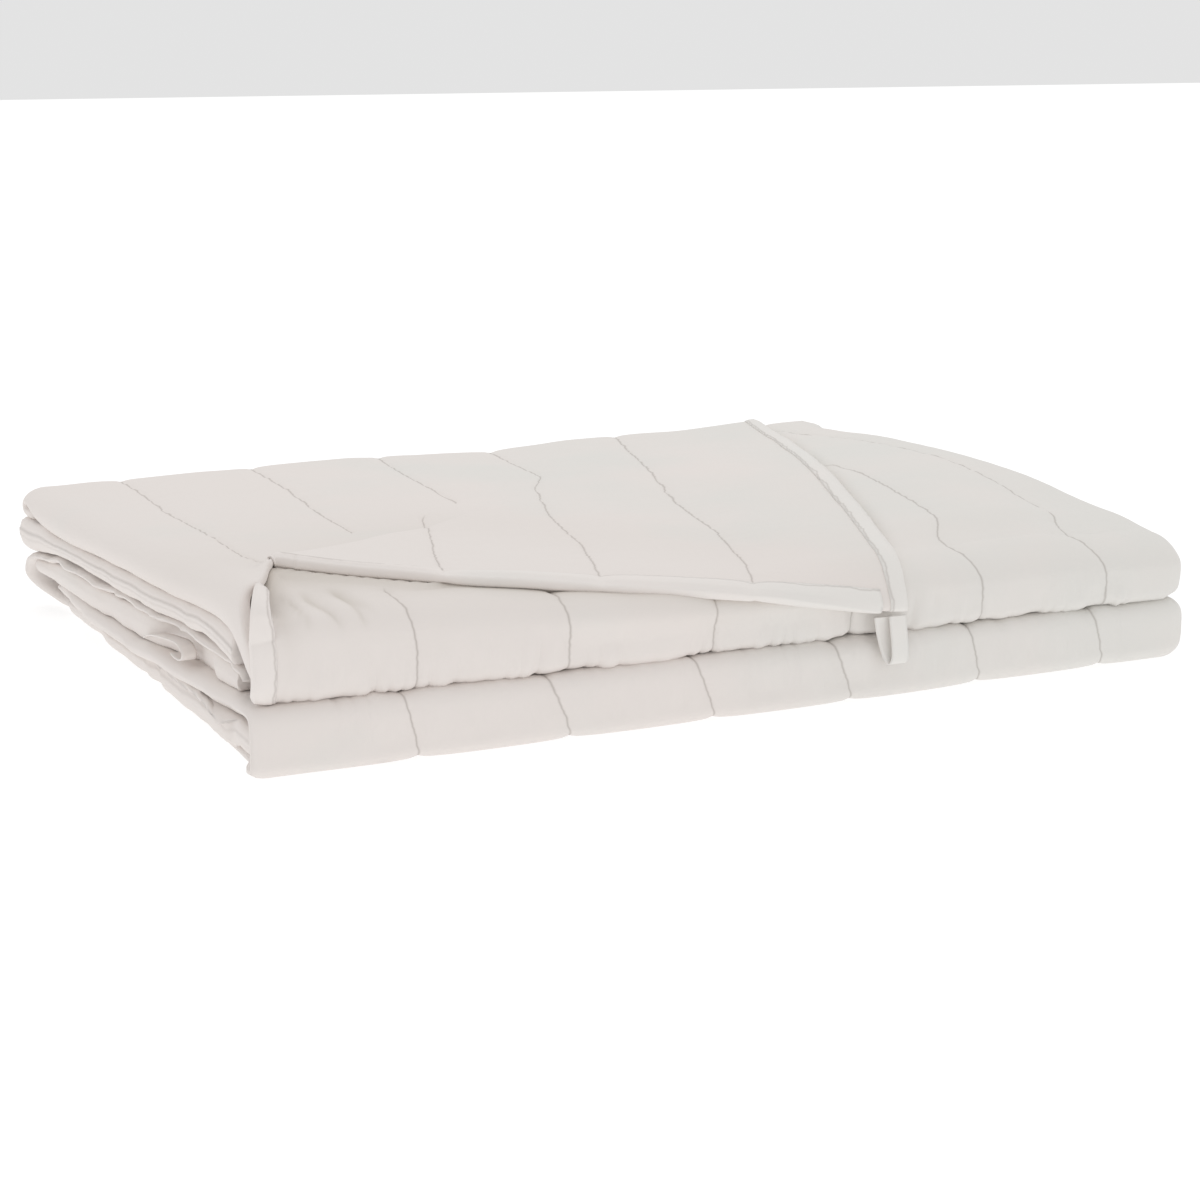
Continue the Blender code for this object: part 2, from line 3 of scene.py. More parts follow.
import bpy
import numpy as np
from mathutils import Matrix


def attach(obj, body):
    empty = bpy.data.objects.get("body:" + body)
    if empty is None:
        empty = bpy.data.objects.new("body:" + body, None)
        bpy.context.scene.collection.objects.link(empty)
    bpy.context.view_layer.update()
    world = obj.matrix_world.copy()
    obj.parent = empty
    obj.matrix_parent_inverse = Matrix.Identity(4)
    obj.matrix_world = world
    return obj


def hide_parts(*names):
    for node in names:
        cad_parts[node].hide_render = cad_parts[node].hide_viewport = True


# Quilted blanket folded into a flat stack, one corner of its top layer turned over.
# Tables are in centimetres from the stack's front left corner: X right, Y back, Z up.
# A layer is a grid of points on its middle surface, with half its thickness at each point.
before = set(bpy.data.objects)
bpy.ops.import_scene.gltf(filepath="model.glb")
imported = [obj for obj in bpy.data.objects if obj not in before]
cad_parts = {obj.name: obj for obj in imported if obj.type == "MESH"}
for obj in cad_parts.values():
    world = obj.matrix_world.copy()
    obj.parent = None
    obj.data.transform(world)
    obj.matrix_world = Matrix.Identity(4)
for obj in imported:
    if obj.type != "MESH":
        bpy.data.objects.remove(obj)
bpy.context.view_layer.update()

cm = 0.01
stackMiddle = np.array([33.46, 25.57, 0.0])  # the frame's origin in the tables' centimetres


def ease(value):  # 0 to 1 with soft ends
    t = np.clip(value, 0.0, 1.0)
    return t * t * (3.0 - 2.0 * t)


def hump(value):  # 1 in the middle, falling off on both sides
    return np.exp(-value * value)


def along(table, at, reach=0.0):  # value of a table at a place, smoothed over reach
    rows = sorted(table)
    places, values = [row[0] for row in rows], [row[1] for row in rows]
    steps = np.linspace(-reach, reach, 7) if reach else [0.0]
    return sum(np.interp(at + step, places, values) for step in steps) / len(steps)


def noise(x, y, seed):  # smooth unevenness from -1 to 1
    lattice = np.random.default_rng(seed).uniform(-1.0, 1.0, (64, 64))
    x, y = np.broadcast_arrays(np.asarray(x, float), np.asarray(y, float))
    i, j = np.floor(x).astype(int), np.floor(y).astype(int)
    s, t = ease(x - i), ease(y - j)
    low = lattice[i % 64, j % 64] * (1 - s) + lattice[(i + 1) % 64, j % 64] * s
    high = lattice[i % 64, (j + 1) % 64] * (1 - s) + lattice[(i + 1) % 64, (j + 1) % 64] * s
    return low * (1 - t) + high * t


def normalsOf(points):
    across = np.gradient(points, axis=1)
    onward = np.gradient(points, axis=0)
    normal = np.cross(across, onward)
    return normal / np.maximum(np.linalg.norm(normal, axis=2, keepdims=True), 1e-9)


blanketSizes = {
    "panel": 10.0,          # width of one sewn channel
    "length": 66.9,         # folded length along the front
    "cloth": 0.9,           # thickness of the layers below the top one
    "topCloth": 0.8,        # thickness of the top layer
    "stack": 9.0,           # height of the stack before its rises and falls
    "seam": 4.25,           # height of the groove between the two stacked folds
    "wrap": 1.5,            # plan radius of the rounded left end
    "rightWrap": 1.8,       # the same at the right end
    "backRow": 51.3,        # where the level layers turn into the back folds
    "backLow": 6.6,         # height of the second layer inside the fold at the back
    "leftEnd": 0.45,        # the stack's ends, counted in channels
    "rightEnd": 6.25,
    "grooveLine": 0.07,     # sharp part of a sewn line
    "grooveSoft": 0.15,     # soft part of a sewn line
    "pucker": 0.05,         # small creases across a sewn line
    "waviness": 0.09,       # slow unevenness of the layers
}

# Sewn lines of the top layer in plan, as (y, x); line 6 is the layer's short edge
topLines = {
    1: [(51.5, 7.2), (42.0, 6.9), (35.0, 6.0), (27.0, 5.6), (20.0, 5.0), (13.5, 4.2), (8.5, 4.0)],
    2: [(51.5, 17.5), (42.0, 17.0), (30.3, 15.7), (23.7, 15.2), (16.0, 9.6), (7.8, 5.2)],
    3: [(51.5, 28.0), (42.0, 26.7), (36.0, 26.3), (31.5, 26.3), (27.8, 21.8), (19.7, 19.0),
        (11.2, 15.8), (4.0, 13.4)],
    4: [(51.5, 37.6), (42.0, 36.5), (39.0, 36.3), (34.7, 33.8), (24.0, 29.9), (14.0, 27.5), (1.0, 22.6)],
    5: [(51.5, 48.9), (47.0, 47.4), (36.8, 44.2), (24.4, 40.1), (14.7, 38.0), (4.3, 34.4), (-1.0, 32.2)],
    6: [(51.5, 62.4), (46.7, 60.9), (40.2, 58.8), (31.4, 55.1), (22.4, 51.8), (17.2, 49.9),
        (11.1, 47.7), (7.3, 46.2), (1.6, 43.9), (-1.0, 43.1)],
}
# The second layer's lines where it shows beyond the short edge, as (y, shift of x)
openLines = {
    5: [(51.5, 4.4), (30.0, 4.4), (23.0, 4.1), (17.0, 3.1), (11.5, 2.1), (5.0, 0.6), (2.0, 0.0)],
    6: [(51.5, 2.2), (42.0, 2.6), (31.0, 3.2), (24.0, 3.1), (16.0, 1.9), (9.0, 0.9), (4.0, 0.2), (0.0, 0.0)],
}
# Front edge of the top layer, line by line: where its level part ends, hanging length, bend per cm
edgeLevel = [(0.45, 3.4), (1.0, 8.5), (2.0, 7.8), (3.0, 4.0), (4.0, 4.0), (5.0, 3.0), (5.5, 2.8), (6.0, 2.4)]
edgeHang = [(0.45, 0.0), (1.0, 0.0), (2.0, 0.0), (3.0, 0.0), (4.0, 2.5), (5.0, 3.8), (5.5, 4.3), (6.0, 5.2)]
edgeCurl = [(0.45, 0.0), (2.0, 0.0), (3.0, 0.03), (4.0, 0.10), (5.0, 0.12), (5.5, 0.2), (6.0, 0.30)]
# Left end of the stack, front to back: the top layer's hem, and the slit over the arm layer
leftHem = [(1.0, 4.9), (2.2, 6.4), (3.0, 7.2), (4.5, 7.9), (7.0, 8.3), (11.0, 8.2), (16.0, 7.9),
           (20.0, 7.7), (30.0, 7.3), (44.0, 6.8), (50.0, 6.5)]
leftSlit = [(1.5, 4.9), (3.0, 5.3), (5.0, 5.8), (7.0, 6.1), (11.0, 6.3), (16.5, 6.2), (20.0, 5.9),
            (30.0, 5.5), (44.0, 5.2), (50.0, 4.5)]
armLevel = [(3.6, 4.7), (15.0, 4.2), (49.8, 3.8)]  # y, height of the arm layer's middle
bottomInset = [(2.0, 0.4), (12.0, 0.9), (26.0, 1.6), (38.0, 1.9), (50.0, 2.2)]  # y, x of its left end
innerTop = [(5.4, 3.9), (8.5, 3.75), (15.0, 3.4), (26.0, 3.0), (46.0, 2.8)]  # y, top of the turned-in ply
# Short creases below the turned-over corner: x, z of both ends and depth; the depth also sets painted shade
# in them
gatherLines = [(3.7, 10.2, 5.5, 8.3, 0.14), (6.0, 9.7, 6.9, 8.2, 0.1), (2.1, 10.2, 2.3, 8.9, 0.1),
               (2.8, 10.2, 3.5, 8.4, 0.09), (4.6, 10.2, 7.6, 8.9, 0.09)]
# The turned-over corner's fold: two points on it in plan, and how high it stands
creaseTip, creasePivot, creaseRise = (4.2, 8.9), (34.0, 34.0), 0.7

panel, length = blanketSizes["panel"], blanketSizes["length"]
cloth, topCloth = blanketSizes["cloth"], blanketSizes["topCloth"]
seam, wrap, rightWrap = blanketSizes["seam"], blanketSizes["wrap"], blanketSizes["rightWrap"]
backRow, backLow = blanketSizes["backRow"], blanketSizes["backLow"]
leftEnd, rightEnd = blanketSizes["leftEnd"], blanketSizes["rightEnd"]


def baseHeight(x, y):  # top of the stack without the turned-over corner
    rightStep = 0.9 * ease((x - 36.0) / 16.0)
    rightDome = 1.3 * hump((x - 59.0) / 10.0) * hump((y - 20.0) / 17.0)
    leftRise = 1.3 * (1.0 - ease((x - 2.0) / 22.0)) * ease((46.0 - y) / 36.0)
    back = ease((y - 28.0) / 16.0)
    backWave = back * (0.3 * hump((x - 25.0) / 8.0) - 0.48 * hump((x - 54.0) / 8.0))
    rightFall = ease((x - 53.0) / 11.0) * (0.4 * hump((y - 37.0) / 8.0) - 1.15 * hump((y - 9.0) / 9.0))
    return blanketSizes["stack"] + rightStep + rightDome + leftRise + backWave + rightFall


def creasePlace(x, y):  # distance from the turned-over corner's fold, and along it
    dx, dy = creasePivot[0] - creaseTip[0], creasePivot[1] - creaseTip[1]
    run = math.hypot(dx, dy)
    across = ((x - creaseTip[0]) * dy - (y - creaseTip[1]) * dx) / run
    return across, ((x - creaseTip[0]) * dx + (y - creaseTip[1]) * dy) / run


def litFlapShare(points):  # where the turned-over flap is painted lighter, a painted highlight for its face catching more light
    across, onward = creasePlace(points[..., 0], points[..., 1])
    return ease((across + 0.6) / 1.2) * (1.0 - ease((onward - 14.0) / 20.0)) * ease((onward + 4.0) / 3.0)


def behindFold(points):  # soft shade just behind the turned-over corner's fold
    across, onward = creasePlace(points[..., 0], points[..., 1])
    near = (1.0 - litFlapShare(points)) * np.exp(-np.clip(-across, 0.0, None) / 7.0)
    return 0.12 * near * ease((onward + 6.0) / 8.0) * (1.0 - ease((onward - 18.0) / 16.0))


def creaseHeight(x, y):
    across, onward = creasePlace(x, y)
    rise = ease((across + 0.5) / 1.0) * np.exp(-np.clip(across, 0.0, None) / 6.0)
    return creaseRise * rise * ease((onward + 3.0) / 3.0) * (1.0 - ease((onward - 12.0) / 26.0))


def topHeight(x, y):
    lip = 0.6 * hump((y - 3.0) / 8.0) * (1.0 - ease((x - 18.0) / 20.0))
    tip = 0.2 * hump((x - 3.0) / 4.0) * hump((y - 8.0) / 7.0)
    return baseHeight(x, y) + lip + tip + creaseHeight(x, y)


def shortEdge(y):  # x of the top layer's short edge
    return along(topLines[6], y, 1.5)


def noseTop(x):  # height of the upper front fold's top
    tight = 0.24 * ease((x - 11.0) / 4.0) * (1.0 - ease((x - 36.0) / 6.0))
    underFlap = np.minimum(topHeight(x, 3.6) - topCloth - 0.2 + tight, 10.1)
    share = ease((x - 42.0) / 5.0)
    corner = 0.8 * (1.0 - ease((x - 1.8) / 2.2))
    return underFlap * (1.0 - share) + (8.9 - 0.45 * ease((x - 57.0) / 7.0)) * share - corner


def underHeight(x, y):  # top face of the second layer
    beyond = ease((x - shortEdge(y) + 0.3) / 1.7)
    level = baseHeight(x, y) - 1.1 * (1.0 - beyond) - (0.26 + 0.14 * ease((y - 30.0) / 15.0)) * beyond
    edgeY = np.interp(x, [2.0, 4.0, 5.3, 13.4, 20.0], [4.2, 8.5, 7.8, 4.0, 4.0])
    ridge = 0.3 * hump((y - edgeY + 0.45) / 0.6) * (1.0 - ease((x - 17.0) / 4.0)) * ease((x - 2.5) / 1.5)
    lifted = (1.0 - beyond) * (1.0 - ease((x - 30.0) / 10.0)) * (1.0 - ease((y - 10.0) / 5.0))
    level = level + (topHeight(x, y) - topCloth - 0.22 - level) * lifted
    front = ease((y - 3.0) / 5.0)
    return noseTop(x) * (1.0 - front) + level * front + ridge


def leftShare(x):  # 1 at the stack's left end, 0 where its layers lie level
    return 1.0 - ease((x - 2.0) / 7.0)


def armHeight(x, y):  # middle of the arm layer
    level = along(armLevel, y)
    edge = along(leftSlit, y, 1.0) - 0.1 - cloth / 2
    return level + (edge - level) * leftShare(x)


# A grid's columns: place in channels, and how far each lies round the left or the right end
def columnsOf(leftSteps, lines, rightSteps):
    at = np.concatenate([np.full(len(leftSteps), leftEnd), lines, np.full(len(rightSteps), rightEnd)])
    left = np.concatenate([leftSteps, np.zeros(len(lines) + len(rightSteps))])
    right = np.concatenate([np.zeros(len(leftSteps) + len(lines)), rightSteps])
    return {"at": at, "left": left, "right": right}


def plainX(columns, left, right):  # X of each column for a layer with plain ends
    at, inLeft, inRight = columns["at"], leftEnd * panel, rightEnd * panel
    x = np.where(columns["left"] > 0.0, left + (inLeft - left) * (1.0 - columns["left"]) / 0.9, at * panel)
    return np.where(columns["right"] > 0.0, right - (right - inRight) * (1.0 - columns["right"]) / 0.9, x)


def endRound(share, start=0.8):  # thins a layer's rim round
    part = np.clip((share - start) / (1.0 - start), 0.0, 1.0)
    return np.sqrt(1.0 - 0.93 * part * part)


def fromLine(at, shape):  # distance from the nearest sewn line, to its left or right, over a grid
    return np.broadcast_to((at - np.clip(np.round(at), 1, 6)) * panel, shape)


def grooveDepth(distance, share):  # how far a sewn line pulls each side of the cloth in
    sharp = blanketSizes["grooveLine"] * np.exp(-(distance / 0.28) ** 2)
    return (sharp + blanketSizes["grooveSoft"] * np.exp(-distance / 1.1)) * share


def puckers(distance, run, line, share):  # short creases across a sewn line
    wave = noise(run * 1.15 + 17.0 * line, np.sign(distance) * 3.0 + line, 3)
    fine = noise(run * 2.6 + 9.0 * line, distance * 0.4, 4)
    return blanketSizes["pucker"] * (wave + 0.5 * fine) * np.exp(-np.abs(distance) / 1.3) * share


# Bends a layer's end round in plan: side is -1 at the stack's left end and 1 at its right end
def wrapEnd(points, share, angle, centerY, centerZ, reach, side):
    bend = np.radians(angle) * np.clip((share - 0.1) / 0.9, 0.0, 1.0)
    bent = points.copy()
    edge = 0.0 if side < 0 else length
    bent[..., 0] = edge - side * reach * (1.0 - np.sin(bend))
    keep = np.cos(bend) if side < 0 else np.sign(np.cos(bend)) * np.abs(np.cos(bend)) ** 0.6
    bent[..., 1] = centerY + (points[..., 1] - centerY) * keep
    bent[..., 2] = centerZ + (points[..., 2] - centerZ) * keep
    return bent


def blendEnd(points, bent, share, weight):
    mix = np.where(share > 0.0, weight, 0.0)[..., None]
    return points * (1.0 - mix) + bent * mix


# Closed cloth from its middle surface; marks are values at its points that its material reads
def clothMesh(name, points, half, material, uv, marks):
    rows, count = points.shape[:2]
    normal = normalsOf(points)
    top = points + normal * half[..., None]
    low = points - normal * half[..., None]
    verts = (np.concatenate([top.reshape(-1, 3), low.reshape(-1, 3)]) - stackMiddle) * cm
    index = np.arange(rows * count).reshape(rows, count)
    a, b, c, d = index[:-1, :-1], index[:-1, 1:], index[1:, 1:], index[1:, :-1]
    faces = [np.stack([a, b, c, d], -1).reshape(-1, 4)]
    other = index + rows * count
    a, b, c, d = other[:-1, :-1], other[:-1, 1:], other[1:, 1:], other[1:, :-1]
    faces.append(np.stack([d, c, b, a], -1).reshape(-1, 4))
    ring = np.concatenate([index[0, :-1], index[:-1, -1], index[-1, :0:-1], index[:0:-1, 0]])
    follow = np.roll(ring, -1)
    under = rows * count
    faces.append(np.stack([follow, ring, ring + under, follow + under], -1))
    faces = np.concatenate(faces)
    mesh = bpy.data.meshes.new(name)
    mesh.vertices.add(len(verts))
    mesh.vertices.foreach_set("co", verts.ravel())
    mesh.loops.add(faces.size)
    mesh.loops.foreach_set("vertex_index", faces.ravel().astype(np.int32))
    mesh.polygons.add(len(faces))
    mesh.polygons.foreach_set("loop_start", np.arange(0, faces.size, 4, dtype=np.int32))
    mesh.polygons.foreach_set("use_smooth", np.ones(len(faces), bool))
    mesh.update()
    mesh.validate()
    flat = np.stack([uv[0], uv[1]], -1).reshape(-1, 2)
    flat = np.concatenate([flat, flat])
    layer = mesh.uv_layers.new(name="cloth")
    layer.data.foreach_set("uv", (flat[faces.ravel()] * cm).ravel())
    for mark, values in marks.items():
        layer = mesh.attributes.new(mark, "FLOAT", "POINT")
        layer.data.foreach_set("value", np.concatenate([values.ravel(), values.ravel()]))
    obj = bpy.data.objects.new(name, mesh)
    bpy.context.scene.collection.objects.link(obj)
    mesh.materials.append(material)
    return obj


def runOf(points):  # distance along the cloth, row by row
    step = np.linalg.norm(np.diff(points, axis=0), axis=2)
    return np.concatenate([np.zeros((1, points.shape[1])), np.cumsum(step, axis=0)])


clothLook = {
    "color": (0.80, 0.762, 0.732, 1.0),
    "roughness": 0.92,
    "sheen": 0.12,
    "weave": 1500.0,        # threads per metre
    "weaveRelief": 0.08,
    "crinkleRelief": 0.25,
    "lineWidth": 0.0007,    # half width of a sewn line's dark groove, in metres
    "lineShade": 0.34,      # painted shade darkening the groove
}


def mathNode(tree, operation, first, second=None, clamp=False):
    node = tree.nodes.new("ShaderNodeMath")
    node.operation = operation
    node.use_clamp = clamp
    for socket, value in zip(node.inputs, (first, second)):
        if value is None:
            continue
        if isinstance(value, (int, float)):
            socket.default_value = value
        else:
            tree.links.new(value, socket)
    return node.outputs[0]


def addNode(tree, kind, **inputs):
    node = tree.nodes.new("ShaderNode" + kind)
    for name, value in inputs.items():
        node.inputs[name].default_value = value
    return node


def attributeNode(tree, name):
    node = addNode(tree, "Attribute")
    node.attribute_name = name
    return node


def colorMix(tree, factor, first, second):
    node = addNode(tree, "Mix")
    node.data_type = "RGBA"
    for socket, value in (("Factor", factor), ("A", first), ("B", second)):
        if isinstance(value, tuple):
            node.inputs[socket].default_value = value
        else:
            tree.links.new(value, node.inputs[socket])
    return node.outputs["Result"]


def makeSewnLines():  # masks of the sewn lines from the cloth's own coordinates
    tree = bpy.data.node_groups.new("sewn lines", "ShaderNodeTree")
    tree.interface.new_socket("Width", in_out="INPUT", socket_type="NodeSocketFloat")
    for output in ("Line", "Pucker"):
        tree.interface.new_socket(output, in_out="OUTPUT", socket_type="NodeSocketFloat")
    start, end = tree.nodes.new("NodeGroupInput"), tree.nodes.new("NodeGroupOutput")
    place = addNode(tree, "UVMap")
    place.uv_map = "cloth"
    split = addNode(tree, "SeparateXYZ")
    tree.links.new(place.outputs["UV"], split.inputs["Vector"])
    sewn = attributeNode(tree, "sewn")
    across, onward = split.outputs["X"], split.outputs["Y"]
    for scale, reach in ((45.0, 0.0030), (170.0, 0.0014)):  # the seam wanders a little
        wander = addNode(tree, "TexNoise", Scale=scale, Detail=1.0)
        wander.noise_dimensions = "1D"
        tree.links.new(onward, wander.inputs["W"])
        shift = mathNode(tree, "MULTIPLY", mathNode(tree, "SUBTRACT", wander.outputs["Fac"], 0.5), reach)
        across = mathNode(tree, "ADD", across, shift)
    distance = mathNode(tree, "PINGPONG", across, 0.05)
    near = mathNode(tree, "DIVIDE", distance, start.outputs["Width"])
    nearSquared = mathNode(tree, "MULTIPLY", near, near)
    line = mathNode(tree, "EXPONENT", mathNode(tree, "MULTIPLY", nearSquared, -1.0))
    tree.links.new(mathNode(tree, "MULTIPLY", line, sewn.outputs["Fac"]), end.inputs["Line"])
    crease = addNode(tree, "TexNoise", Scale=1.0, Detail=2.0)
    stretch = addNode(tree, "CombineXYZ")
    tree.links.new(mathNode(tree, "MULTIPLY", across, 60.0), stretch.inputs["X"])
    tree.links.new(mathNode(tree, "MULTIPLY", onward, 330.0), stretch.inputs["Y"])
    tree.links.new(stretch.outputs["Vector"], crease.inputs["Vector"])
    fade = mathNode(tree, "EXPONENT", mathNode(tree, "MULTIPLY", distance, -150.0))
    pucker = mathNode(tree, "MULTIPLY", crease.outputs["Fac"], fade)
    tree.links.new(mathNode(tree, "MULTIPLY", pucker, sewn.outputs["Fac"]), end.inputs["Pucker"])
    return tree


sewnLines = makeSewnLines()


def makeCloth(name, look):
    material = bpy.data.materials.new(name)
    material.use_nodes = True
    tree = material.node_tree
    links = tree.links
    shader = tree.nodes["Principled BSDF"]
    shader.inputs["Roughness"].default_value = look["roughness"]
    shader.inputs["Sheen Weight"].default_value = look["sheen"]
    shader.inputs["Sheen Roughness"].default_value = 0.5
    shader.inputs["Specular IOR Level"].default_value = 0.15
    place = addNode(tree, "TexCoord").outputs["Object"]
    mottle = addNode(tree, "TexNoise", Scale=9.0, Detail=3.0)
    links.new(place, mottle.inputs["Vector"])
    parts = addNode(tree, "SeparateXYZ")
    links.new(place, parts.inputs["Vector"])
    slow = mathNode(tree, "MULTIPLY", mathNode(tree, "SUBTRACT", mottle.outputs["Fac"], 0.5), 2.4)
    # painted light: the tint turns cooler and slightly darker towards the right, and lighter and warmer on
    # the turned-over flap
    paintedLightTint = mathNode(tree, "ADD", mathNode(tree, "MULTIPLY", parts.outputs["X"], 1.6), 0.35)
    # painted light: the turned-over flap's face is tinted lighter and warmer
    turned = attributeNode(tree, "turned")
    paintedLightTint = mathNode(tree, "SUBTRACT", paintedLightTint, mathNode(tree, "MULTIPLY", turned.outputs["Fac"], 0.9))
    red, green, blue = look["color"][:3]
    tint = colorMix(tree, mathNode(tree, "ADD", slow, paintedLightTint, clamp=True),
                    (red * 1.02, green * 1.002, blue * 0.998, 1.0),
                    (red * 0.965, green * 0.99, blue * 0.985, 1.0))
    seams = addNode(tree, "Group")
    seams.node_tree = sewnLines
    seams.inputs["Width"].default_value = look["lineWidth"]
    # painted shade: the sewn lines' grooves darkened towards dark brown
    lines = mathNode(tree, "MULTIPLY", seams.outputs["Line"], look["lineShade"])
    shade = colorMix(tree, lines, tint, (0.16, 0.12, 0.09, 1.0))
    # painted shade: brownish darkening under the turned-over corner's lip, in its creases and behind its fold
    shaded = mathNode(tree, "MULTIPLY", attributeNode(tree, "shaded").outputs["Fac"], 1.0, clamp=True)
    gather = colorMix(tree, shaded, shade, (red * 0.56, green * 0.53, blue * 0.45, 1.0))
    links.new(gather, shader.inputs["Base Color"])
    weave = addNode(tree, "TexNoise", Scale=look["weave"])
    links.new(place, weave.inputs["Vector"])
    crinkle = addNode(tree, "TexNoise", Scale=140.0, Detail=3.0)
    links.new(place, crinkle.inputs["Vector"])
    coarse = addNode(tree, "Bump", Strength=look["crinkleRelief"], Distance=0.0008)
    puckered = mathNode(tree, "MULTIPLY", seams.outputs["Pucker"], 1.6)
    links.new(mathNode(tree, "ADD", crinkle.outputs["Fac"], puckered), coarse.inputs["Height"])
    fine = addNode(tree, "Bump", Strength=look["weaveRelief"], Distance=0.0003)
    links.new(weave.outputs["Fac"], fine.inputs["Height"])
    links.new(coarse.outputs["Normal"], fine.inputs["Normal"])
    links.new(fine.outputs["Normal"], shader.inputs["Normal"])
    return material


quiltCloth = makeCloth("quilt cloth", clothLook)
tapeLook = dict(clothLook, color=(0.825, 0.789, 0.76, 1.0), crinkleRelief=0.1, lineShade=0.25)
tapeCloth = makeCloth("binding tape", tapeLook)


topColumns = columnsOf(np.linspace(1.0, 0.1, 22), np.concatenate([
    np.arange(0.475, 5.86, 0.025), [5.88, 5.90, 5.92, 5.94, 5.955, 5.97, 5.985, 6.0]]), np.array([]))
frontGaps = np.array([0.0, 0.08, 0.2, 0.4, 0.65, 0.95, 1.25])  # rows at the front edge, in cm from it
topRows = len(frontGaps) + 149  # rows from the front edge to the fold at the back


def topPlanX(at, y):  # x of the top layer's columns between its sewn lines
    low = np.clip(np.floor(at).astype(int), 0, 5)
    x = np.zeros(np.broadcast(at, y).shape)
    for number in range(0, 6):
        ends = []
        for line in (number, number + 1):
            ends.append(np.full(x.shape, wrap) if line == 0 else along(topLines[line], y, 0.8))
        part = at - number if number else (at - leftEnd) / (1.0 - leftEnd)
        here = ends[0] + (ends[1] - ends[0]) * np.clip(part, 0.0, 1.0)
        x = np.where(low == number, here, x)
    return x


def topLineShare(at, y):  # how clearly a line shows: two of them fade in the crease
    line = np.round(at)
    share = np.ones(np.broadcast(at, y).shape)
    share = np.where(line == 2, ease((y - 22.5) / 1.5), share)
    share = np.where(line == 3, np.maximum(ease((y - 30.8) / 1.0), 1.0 - ease((y - 27.2) / 1.0)), share)
    return np.where(line < 1, 0.0, share)


def makeTopLayer():
    columns = topColumns
    at, left = columns["at"], columns["left"]
    bend = np.radians(150.0) * np.clip((left - 0.1) / 0.9, 0.0, 1.0)
    around = np.where(left > 0.0, np.clip(np.cos(bend), 0.0, 1.0), 1.0)
    levelTo = 0.6 + (along(edgeLevel, at, 0.12) - 0.6) * around
    hang = along(edgeHang, at, 0.3)
    curl = along(edgeCurl, at, 0.15)
    full = backRow - levelTo + hang
    runs = [full - gap for gap in frontGaps]
    parts = np.linspace(1.0, 0.0, topRows - len(frontGaps) + 1)[1:]
    runs += [(full - frontGaps[-1]) * part for part in parts]
    run = np.array(runs)
    level = backRow - levelTo
    past = np.clip(run - level, 0.0, None)
    yLevel = backRow - np.minimum(run, level)
    turn = np.minimum(curl * past, math.radians(88.0))
    roundRun = np.where(curl > 1e-4, turn / np.maximum(curl, 1e-4), past)
    radius = 1.0 / np.maximum(curl, 1e-3)
    drop = radius * (1.0 - np.cos(turn)) + (past - roundRun) * np.sin(turn)
    forward = radius * np.sin(turn) + (past - roundRun) * np.cos(turn)
    forward = np.where(curl > 1e-3, forward, past)
    drop = np.where(curl > 1e-3, drop, 0.0)
    y = yLevel - forward
    x = topPlanX(at[None, :], y)
    z = topHeight(x, yLevel) - topCloth / 2 - drop
    points = np.stack([x, y, z], -1)
    hem = along(leftHem, y, 0.8)
    corner = ease((y - backRow + 6.0) / 6.0)
    angle = 150.0 - 65.0 * corner
    hem = hem * (1.0 - corner) + (blanketSizes["stack"] - 1.4) * corner
    center = z - (z - hem) / (1.0 - np.cos(np.radians(angle)))
    center = center * (1.0 - corner) + 7.6 * corner
    bent = wrapEnd(points, left, angle, y, center, wrap, -1)
    points = blendEnd(points, bent, left, 1.0)
    # The fold at the back, down to the second layer
    rowsBack = []
    xTop = topPlanX(at, np.full(len(at), backRow))
    xUnder = plainX(columns, 1.6, length)
    high = topHeight(xTop, backRow) - topCloth / 2
    middle = (high + backLow) / 2
    for degrees in np.linspace(80, -90, 16):
        phi = math.radians(degrees)
        share = (90 - degrees) / 180.0
        yRow = backRow + 1.05 * math.cos(phi)
        row = np.stack([xTop * (1.0 - share) + xUnder * share, np.full(len(at), yRow),
                        middle + (high - backLow) / 2 * math.sin(phi)], -1)
        rowsBack.append(blendEnd(row, wrapEnd(row, left, 85.0, backRow, middle, wrap, -1), left, 1.0))
    for yRow in (backRow - 0.7, backRow - 1.4):
        row = np.stack([xUnder, np.full(len(at), yRow), np.full(len(at), backLow)], -1)
        rowsBack.append(blendEnd(row, wrapEnd(row, left, 85.0, yRow, 7.6, wrap, -1), left, 0.95))
    points = np.concatenate([points, np.array(rowsBack)])
    share = topLineShare(at[None, :], points[..., 1])
    distance = fromLine(at, share.shape)
    onEdge = np.broadcast_to(np.round(at) == 6, share.shape)
    share = np.where(onEdge, 0.35, share)
    rowRun = runOf(points)
    lift = puckers(distance, rowRun, np.round(at)[None, :], share)
    lift += blanketSizes["waviness"] * noise(points[..., 0] / 8.0, points[..., 1] / 8.0, 11)
    lift += 0.03 * noise(points[..., 0] / 2.6, points[..., 1] / 2.6, 12)
    points = points + normalsOf(points) * lift[..., None]
    half = topCloth / 2 - grooveDepth(np.abs(distance), share)
    half = half * endRound(left, 0.85)[None, :]
    edgeGap = np.clip((6.0 - at) * panel, 0.0, 0.35) / 0.35
    half = half * np.sqrt(1.0 - 0.8 * (1.0 - edgeGap) ** 2)[None, :]
    front = np.ones(len(points))
    front[:len(frontGaps)] = np.sqrt(1.0 - 0.8 * (1.0 - np.clip(frontGaps / 0.35, 0.0, 1.0)) ** 2)
    back = np.ones(len(points))
    back[-1] = 0.4
    half = half * front[:, None] * back[:, None]
    return points, half, share, rowRun


topPoints, topHalf, topShare, topRun = makeTopLayer()
topUv = (np.broadcast_to(topColumns["at"] * panel - topColumns["left"] * 3.0, topRun.shape), topRun)
